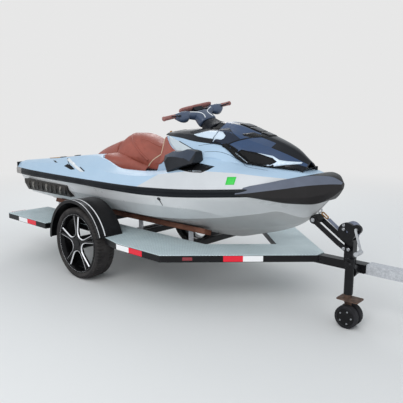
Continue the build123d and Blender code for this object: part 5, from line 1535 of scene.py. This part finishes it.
def tape(name, start, end, finish, low=0.366, high=0.408):
    """A strip of tape stuck on the frame's upright face between two points of the plan, on both sides."""
    for side, which in side_names.items():
        a, b = Vector((start[0], start[1] * side, 0)), Vector((end[0], end[1] * side, 0))
        along = (b - a).normalized()
        out = Vector((along.y, -along.x, 0)) * side * -1
        mesh = bpy.data.meshes.new(name)
        corners = []
        for t in (0, 0.25, 0.5, 0.75, 1):
            p = a.lerp(b, t)
            for z in (low, high):
                corners.append(at(p.x, p.y, z) + out * 0.0008)
        faces = [(2 * i, 2 * i + 2, 2 * i + 3, 2 * i + 1) for i in range(4)]
        mesh.from_pydata(corners, [], faces)
        mesh.update()
        if mesh.polygons[0].normal.dot(out) < 0:
            mesh.flip_normals()
        mesh.materials.append(finish)
        piece = made(f"{name}_{which}", mesh)
        walled(piece, 0.0012)


def along_taper(share):
    """A point of the plan on the slanting front edge."""
    return between(frame_shoulder, frame_nose, share)


marker_red = coat_of("marker_red", colour(150, 30, 44), colour(118, 20, 34), 0.2, coat=0.6, drift=120)
edge_tapes = (
    ("tape_side_white", 0.557, 0.704, tape_white), ("tape_side_red", 0.704, 0.853, tape_red),
    ("tape_rear_white", -0.950, -0.790, tape_white), ("tape_rear_red", -0.790, -0.635, tape_red),
)
for name, start, end, finish in edge_tapes:
    tape(name, (start, frame_side_y), (end, frame_side_y), finish)
tape("marker_red", along_taper(0.143), along_taper(0.205), marker_red, 0.376, 0.400)
tape("tape_taper_red", along_taper(0.400), along_taper(0.525), tape_red)
tape("tape_taper_white", along_taper(0.525), along_taper(0.652), tape_white)
lamp_red = coat_of(
    "lamp_red", colour(196, 18, 30), colour(150, 12, 22), 0.12, drift=60, coat=1.0, pebble=0.5,
    pebble_scale=700,
)
dress(lamp_red, "tail_lamps", edge=0.003)


# Deck plate: pressed tread plate in pale mill-finish aluminium, cut round the wheels and riveted down on the
# frame.
def tread_plate(name, light, dark):
    """Mill-finish sheet with small raised diamonds."""
    material = coat_of(name, light, dark, 0.42, drift=5, metal=0.15, film=0.12)
    tree = material.node_tree
    place = wired(tree, "TexCoord")
    split = wired(tree, "SeparateXYZ", {"Vector": place.outputs["Object"]})
    waves = []
    for sign in (1, -1):
        slant = wired(
            tree, "Math", {0: split.outputs["Y"], 1: sign, 2: split.outputs["X"]}, operation="MULTIPLY_ADD",
        )
        pitch = wired(tree, "Math", {0: slant.outputs["Value"], 1: math.tau / 0.034}, operation="MULTIPLY")
        waves.append(wired(tree, "Math", {0: pitch.outputs["Value"]}, operation="SINE").outputs["Value"])
    raised = wired(tree, "Math", {0: waves[0], 1: waves[1]}, operation="MULTIPLY")
    flats = wired(tree, "MapRange", {"Value": raised.outputs["Value"], "From Min": 0.25, "From Max": 0.7})
    base = tree.nodes["Principled BSDF"].inputs["Base Color"]
    tops = (*(min(1.0, 1.35 * c) for c in light), 1)
    polished = wired(
        tree, "Mix", {"Factor": flats.outputs["Result"], "A": base.links[0].from_socket, "B": tops},
        data_type="RGBA",
    )
    tree.links.new(polished.outputs["Result"], base)
    bumped(material, flats.outputs["Result"], 0.9, 0.003)
    return material


tread_metal = tread_plate("tread_metal", colour(206, 222, 226), colour(186, 203, 208))
dress(tread_metal, "deck_plate", edge=0.001)

# Axle: a square steel tube bolted under the frame and painted black, with a rubber-sprung trailing arm, a
# spindle and a hub at each end. The galvanised finish is for the bunks' brackets and the coupler.
galvanised = coat_of(
    "galvanised", colour(214, 216, 220), colour(182, 185, 190), 0.42, drift=60, metal=0.45, film=0.06,
)
dress(frame_black, "axle_tube", "trailing_arms", edge=0.003)
hub_black = coat_of("hub_black", colour(20, 20, 22), colour(12, 12, 14), 0.35, film=0.02)
dress(hub_black, "hub_starboard", "hub_port", edge=0.002)

# Wheels: gloss black alloy rims bolted to the hubs, with a machined edge round each window and at the lip.
# They carry low tyres with a blocked tread and ridged side walls.
wheel_y, wheel_z = 0.725, 0.308
rim_gloss = coat_of("rim_gloss", colour(13, 13, 15), colour(8, 8, 10), 0.24, coat=0.05, film=0.01)
machined = coat_of("machined", colour(250, 250, 252), colour(236, 237, 240), 0.28, drift=90, metal=0.15)
dress(rim_gloss, "rim_starboard", "rim_port", edge=0.003)
tyre_rubber = coat_of(
    "tyre_rubber", colour(60, 57, 57), colour(38, 37, 38), 0.75, drift=9, pebble=0.25, film=0.12,
)
tyre_section = [
    (-0.0775, 0.2505), (-0.0775, 0.2580), (-0.0822, 0.2605), (-0.0838, 0.2650), (-0.0872, 0.2655),
    (-0.0905, 0.2740), (-0.0921, 0.2810), (-0.0936, 0.2820), (-0.0934, 0.2860), (-0.0914, 0.2868),
    (-0.0895, 0.2950), (-0.0840, 0.3025), (-0.0740, 0.3058),
]
tread_edges = [-0.0740, -0.0480, -0.0440, -0.0170, -0.0130, 0.0130, 0.0170, 0.0440, 0.0480, 0.0740]


def tread_ring(cut):
    """The tyre's section from bead to bead, sunk where a groove crosses the tread."""
    flank = []
    for across, radius in tyre_section:
        sink = 0.004 if cut and radius > 0.300 else 0.002 if cut and radius > 0.295 else 0.0
        flank.append((across, radius - sink))
    crown = []
    for across in tread_edges[1:-1]:
        top = wheel_z - 0.0022 * (across / 0.074) ** 2
        crown.append((across, top - (0.006 if cut and abs(across) > 0.040 else 0.0)))
    return flank + crown + [(-across, radius) for across, radius in reversed(flank)]


def chamfer(trim, spin, path, aim, proud, closed=False):
    """A machined edge along a path in the wheel's plane, sloping towards a point."""
    rows = []
    last = len(path) - 1
    for k, p in enumerate(path):
        before = path[k - 1 if closed else max(k - 1, 0)]
        after = path[(k + 1) % len(path) if closed else min(k + 1, last)]
        along = (after - before).normalized()
        inward = aim - p
        inward = (inward - along * inward.dot(along)).normalized()
        section = ((-0.001, proud), (0.0058, proud - 0.0075), (-0.001, proud - 0.0075))
        rows.append(
            [trim.verts.new(spin @ (p + inward * w + Vector((0, rim_face_y + h, 0)))) for w, h in section]
        )
    joined(trim, rows + rows[:1] if closed else rows)
    if not closed:
        trim.faces.new(rows[0])
        trim.faces.new(rows[-1])


rim_face_y, tread_blocks, spokes = 0.0805, 64, 5
for side, end in side_names.items():
    spin = Matrix.Translation(at(0, side * wheel_y, wheel_z)) @ Matrix.Diagonal((1, side, 1, 1))
    tyre = bmesh.new()
    rows = []
    for n in range(tread_blocks):
        for share, cut in ((0.0, False), (0.70, False), (0.74, True), (0.96, True)):
            a = math.tau * (n + share) / tread_blocks
            rows.append([
                tyre.verts.new(spin @ Vector((r * math.cos(a), y, r * math.sin(a))))
                for y, r in tread_ring(cut)
            ])
    for n in range(len(rows)):
        near, far = rows[n], rows[(n + 1) % len(rows)]
        for i in range(len(near) - 1):
            tyre.faces.new((near[i], near[i + 1], far[i + 1], far[i])).smooth = i < 12 or i > len(near) - 14
    bmesh.ops.recalc_face_normals(tyre, faces=tyre.faces)
    piece = solid(f"tyre_{end}_tread", tyre, tyre_rubber, body=f"wheel_{end}", slot="tyre")
    walled(piece, 0.008)
    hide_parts(f"tyre_{end}")
    trim = bmesh.new()
    spoke_edge = ((0.236, 0.0305), (0.190, 0.0235), (0.140, 0.0160), (0.108, 0.0115), (0.082, 0.0160))
    half = [(r, math.pi / spokes - across / r) for r, across in spoke_edge]
    window = [(r, -a) for r, a in half] + [(0.062, 0.0)] + [(r, a) for r, a in reversed(half)]
    for n in range(spokes):
        middle = math.pi / 2 + math.tau * (n + 0.5) / spokes
        corners = [(r * math.cos(middle + a), 0, r * math.sin(middle + a)) for r, a in window]
        centre = Vector((0.17 * math.cos(middle), 0, 0.17 * math.sin(middle)))
        chamfer(trim, spin, followed("window", corners, 6), centre, 0.0006)
    lip = [Vector((u, 0, v)) for u, v in turned_ring(0.2475, 72)]
    chamfer(trim, spin, lip, Vector((0, 0, 0)), 0.0045, closed=True)
    bmesh.ops.recalc_face_normals(trim, faces=trim.faces)
    solid(f"machined_edges_{end}", trim, machined, body=f"wheel_{end}", slot="rim_black")

# Fenders: steel arches, rolled and painted gloss black, bolted to the deck over the wheels, with two white
# stripes of tape along each.
dress(frame_black, "fender_starboard", "fender_port", edge=0.002)
arch_radius, arch_foot_height = 0.376, 0.108
arch_foot = math.degrees(math.asin(arch_foot_height / arch_radius))
stripes = (
    ("edge_stripe", 0.8245, 0.8290, 118, arch_foot + 1), ("fender_stripe", 0.768, 0.777, 112, arch_foot + 2),
)
for side, end in side_names.items():
    for name, low_y, high_y, start, stop in stripes:
        inner, outer = arch_radius - 0.0005, arch_radius + 0.0008
        section = ((inner, low_y), (outer, low_y), (outer, high_y), (inner, high_y))
        strip = bmesh.new()
        rows = []
        for n in range(49):
            a = math.radians(start + (stop - start) * n / 48)
            spots = [at(r * math.cos(a), side * y, wheel_z + r * math.sin(a)) for r, y in section]
            rows.append([strip.verts.new(spot) for spot in spots])
        joined(strip, rows)
        bmesh.ops.recalc_face_normals(strip, faces=strip.faces)
        solid(f"{name}_{end}", strip, tape_white, slot="frame_black")


# Bunks: two long boards that the hull rests on, wrapped in rust-brown carpet, on galvanised angle brackets
# bolted to the cross members.
def board_cloth(name, light, dark):
    """Looped carpet: a coarse weave over a colour that wears along the board."""
    material = coat_of(name, light, dark, 0.9, drift=9, film=0.2)
    tree = material.node_tree
    place = wired(tree, "TexCoord")
    stretch = wired(tree, "Mapping", {"Vector": place.outputs["Object"], "Scale": (60, 320, 320)})
    fibre = wired(tree, "TexNoise", {"Vector": stretch.outputs["Vector"], "Scale": 1.0})
    bumped(material, fibre.outputs["Fac"], 0.6, 0.001)
    return material


bunk_carpet = board_cloth("bunk_carpet", colour(122, 70, 46), colour(86, 46, 30))
dress(bunk_carpet, "bunks", edge=0.005)
dress(galvanised, "bunk_brackets", edge=0.001)

# Winch: the black post and its arms with a ribbed rubber bow roller, bolted to the tongue, and the geared
# hand winch whose slate webbing and snap hook hold the bow eye.
dress(frame_black, "winch_stand", "winch_frame", "jack_bracket", edge=0.003)
roller_rubber = coat_of("roller_rubber", colour(30, 30, 32), colour(20, 20, 22), 0.6, pebble=0.4, film=0.05)
dress(roller_rubber, "bow_roller", edge=0.006)


def webbing(name, light, dark, ribs):
    """Flat woven strap: fine cross ribs over the drift of its dye."""
    material = coat_of(name, light, dark, 0.8, drift=20, film=0.15)
    tree = material.node_tree
    place = wired(tree, "TexCoord")
    weave = wired(
        tree, "TexWave", {"Vector": place.outputs["Object"], "Scale": ribs, "Distortion": 1.0},
        bands_direction="Y",
    )
    bumped(material, weave.outputs["Fac"], 0.6, 0.0006)
    return material


strap_slate = webbing("strap_slate", colour(128, 136, 158), colour(98, 105, 126), 120)
dress(strap_slate, "winch_drum", "winch_strap", edge=0.001)
crank_grey = coat_of(
    "crank_grey", colour(206, 208, 210), colour(176, 178, 182), 0.32, drift=50, metal=0.7, film=0.1,
)
dress(crank_grey, "winch_crank", edge=0.002)
hook_brass = coat_of(
    "hook_brass", colour(170, 128, 74), colour(128, 88, 50), 0.4, drift=70, metal=0.8, film=0.2,
)
dress(hook_brass, "bow_hook", edge=0.002)


def bolt_heads(name, places, radius, out, body="root"):
    """Hexagon bolt heads with a raised washer, facing out."""
    heads = bmesh.new()
    out = Vector(out).normalized()
    turn_to = out.to_track_quat("Z", "Y").to_matrix().to_4x4()
    for place in places:
        facing = Matrix.Translation(at(*place)) @ turn_to
        for r, low, high, count in ((radius * 1.5, -0.002, 0.0015, 18), (radius, 0.0015, 0.007, 6)):
            rings = []
            for height, grow in ((low, 1.0), (high - 0.0008, 1.0), (high, 0.86)):
                rings.append(
                    [
                        heads.verts.new(facing @ Vector((u, v, height)))
                        for u, v in turned_ring(r * grow, count)
                    ]
                )
            joined(heads, rings)
            heads.faces.new(rings[0])
            heads.faces.new(rings[-1])
    bmesh.ops.recalc_face_normals(heads, faces=heads.faces)
    solid(name, heads, plated, body=body, slot="plated")


bolt_heads("winch_bolts", [(2.046, -0.070, 0.636), (2.046, -0.070, 0.664)], 0.007, (0, -1, 0))
bolt_heads("roller_bolt", [(1.809, -0.062, 0.663)], 0.010, (0, -1, 0))
bolt_heads("arm_bolts", [(2.050, -0.062, 0.500), (2.085, -0.062, 0.500)], 0.008, (0, -1, 0))

# Jack: the painted tube clamped to the tongue on its swivel, the rusty leg that screws down in it with a foot
# plate, and a twin caster on its fork.
dress(frame_black, "jack_tube", edge=0.003)
fork_rust = coat_of(
    "fork_rust", colour(112, 84, 68), colour(58, 44, 38), 0.7, drift=30, pebble=0.4, film=0.06,
)
dress(fork_rust, "jack_leg", "caster_fork", edge=0.002)
caster_rubber = coat_of(
    "caster_rubber", colour(42, 42, 46), colour(28, 28, 31), 0.65, drift=16, pebble=0.2, film=0.03,
)
dress(caster_rubber, "caster_wheels", edge=0.003)
caster_x, caster_z = 2.153, 0.078
caster_ends = [(nodes["caster_wheels"].matrix_world @ Vector(c)).y for c in nodes["caster_wheels"].bound_box]
for end, face_y, out in (("outer", min(caster_ends), -1), ("inner", max(caster_ends), 1)):
    disc_rings = []
    for r, proud in (
        (0.061, -0.002), (0.060, 0.0025), (0.053, 0.0025), (0.050, 0.0006), (0.030, 0.0012), (0.026, 0.004),
        (0.012, 0.004),
    ):
        disc_rings.append(
            [at(caster_x + u, face_y + out * proud, caster_z + v) for u, v in turned_ring(r, 24)]
        )
    ringed(f"caster_disc_{end}", disc_rings, hub_black, "caster_black", "caster_wheel", levels=1)
    bolts = [(caster_x + u, face_y + out * 0.001, caster_z + v) for u, v in turned_ring(0.042, 5)]
    bolt_heads(f"caster_bolts_{end}", bolts, 0.004, (0, out, 0), "caster_wheel")
    for n, inset in enumerate((0.012, 0.023, 0.034)):
        groove_rings = []
        for w, r in ((-0.0022, 0.0772), (-0.0014, 0.0786), (0.0014, 0.0786), (0.0022, 0.0772)):
            y = face_y - out * inset + w
            groove_rings.append([at(caster_x + u, y, caster_z + v) for u, v in turned_ring(r, 40)])
        ringed(
            f"caster_rib_{end}_{n}", groove_rings, caster_rubber, "caster_black", "caster_wheel", levels=0,
            closed_ends=False,
        )

# Coupler: the galvanised pressing bolted to the tongue's end, which drops over the ball and is locked by the
# latch lever on top.
dress(galvanised, "coupler", edge=0.004)
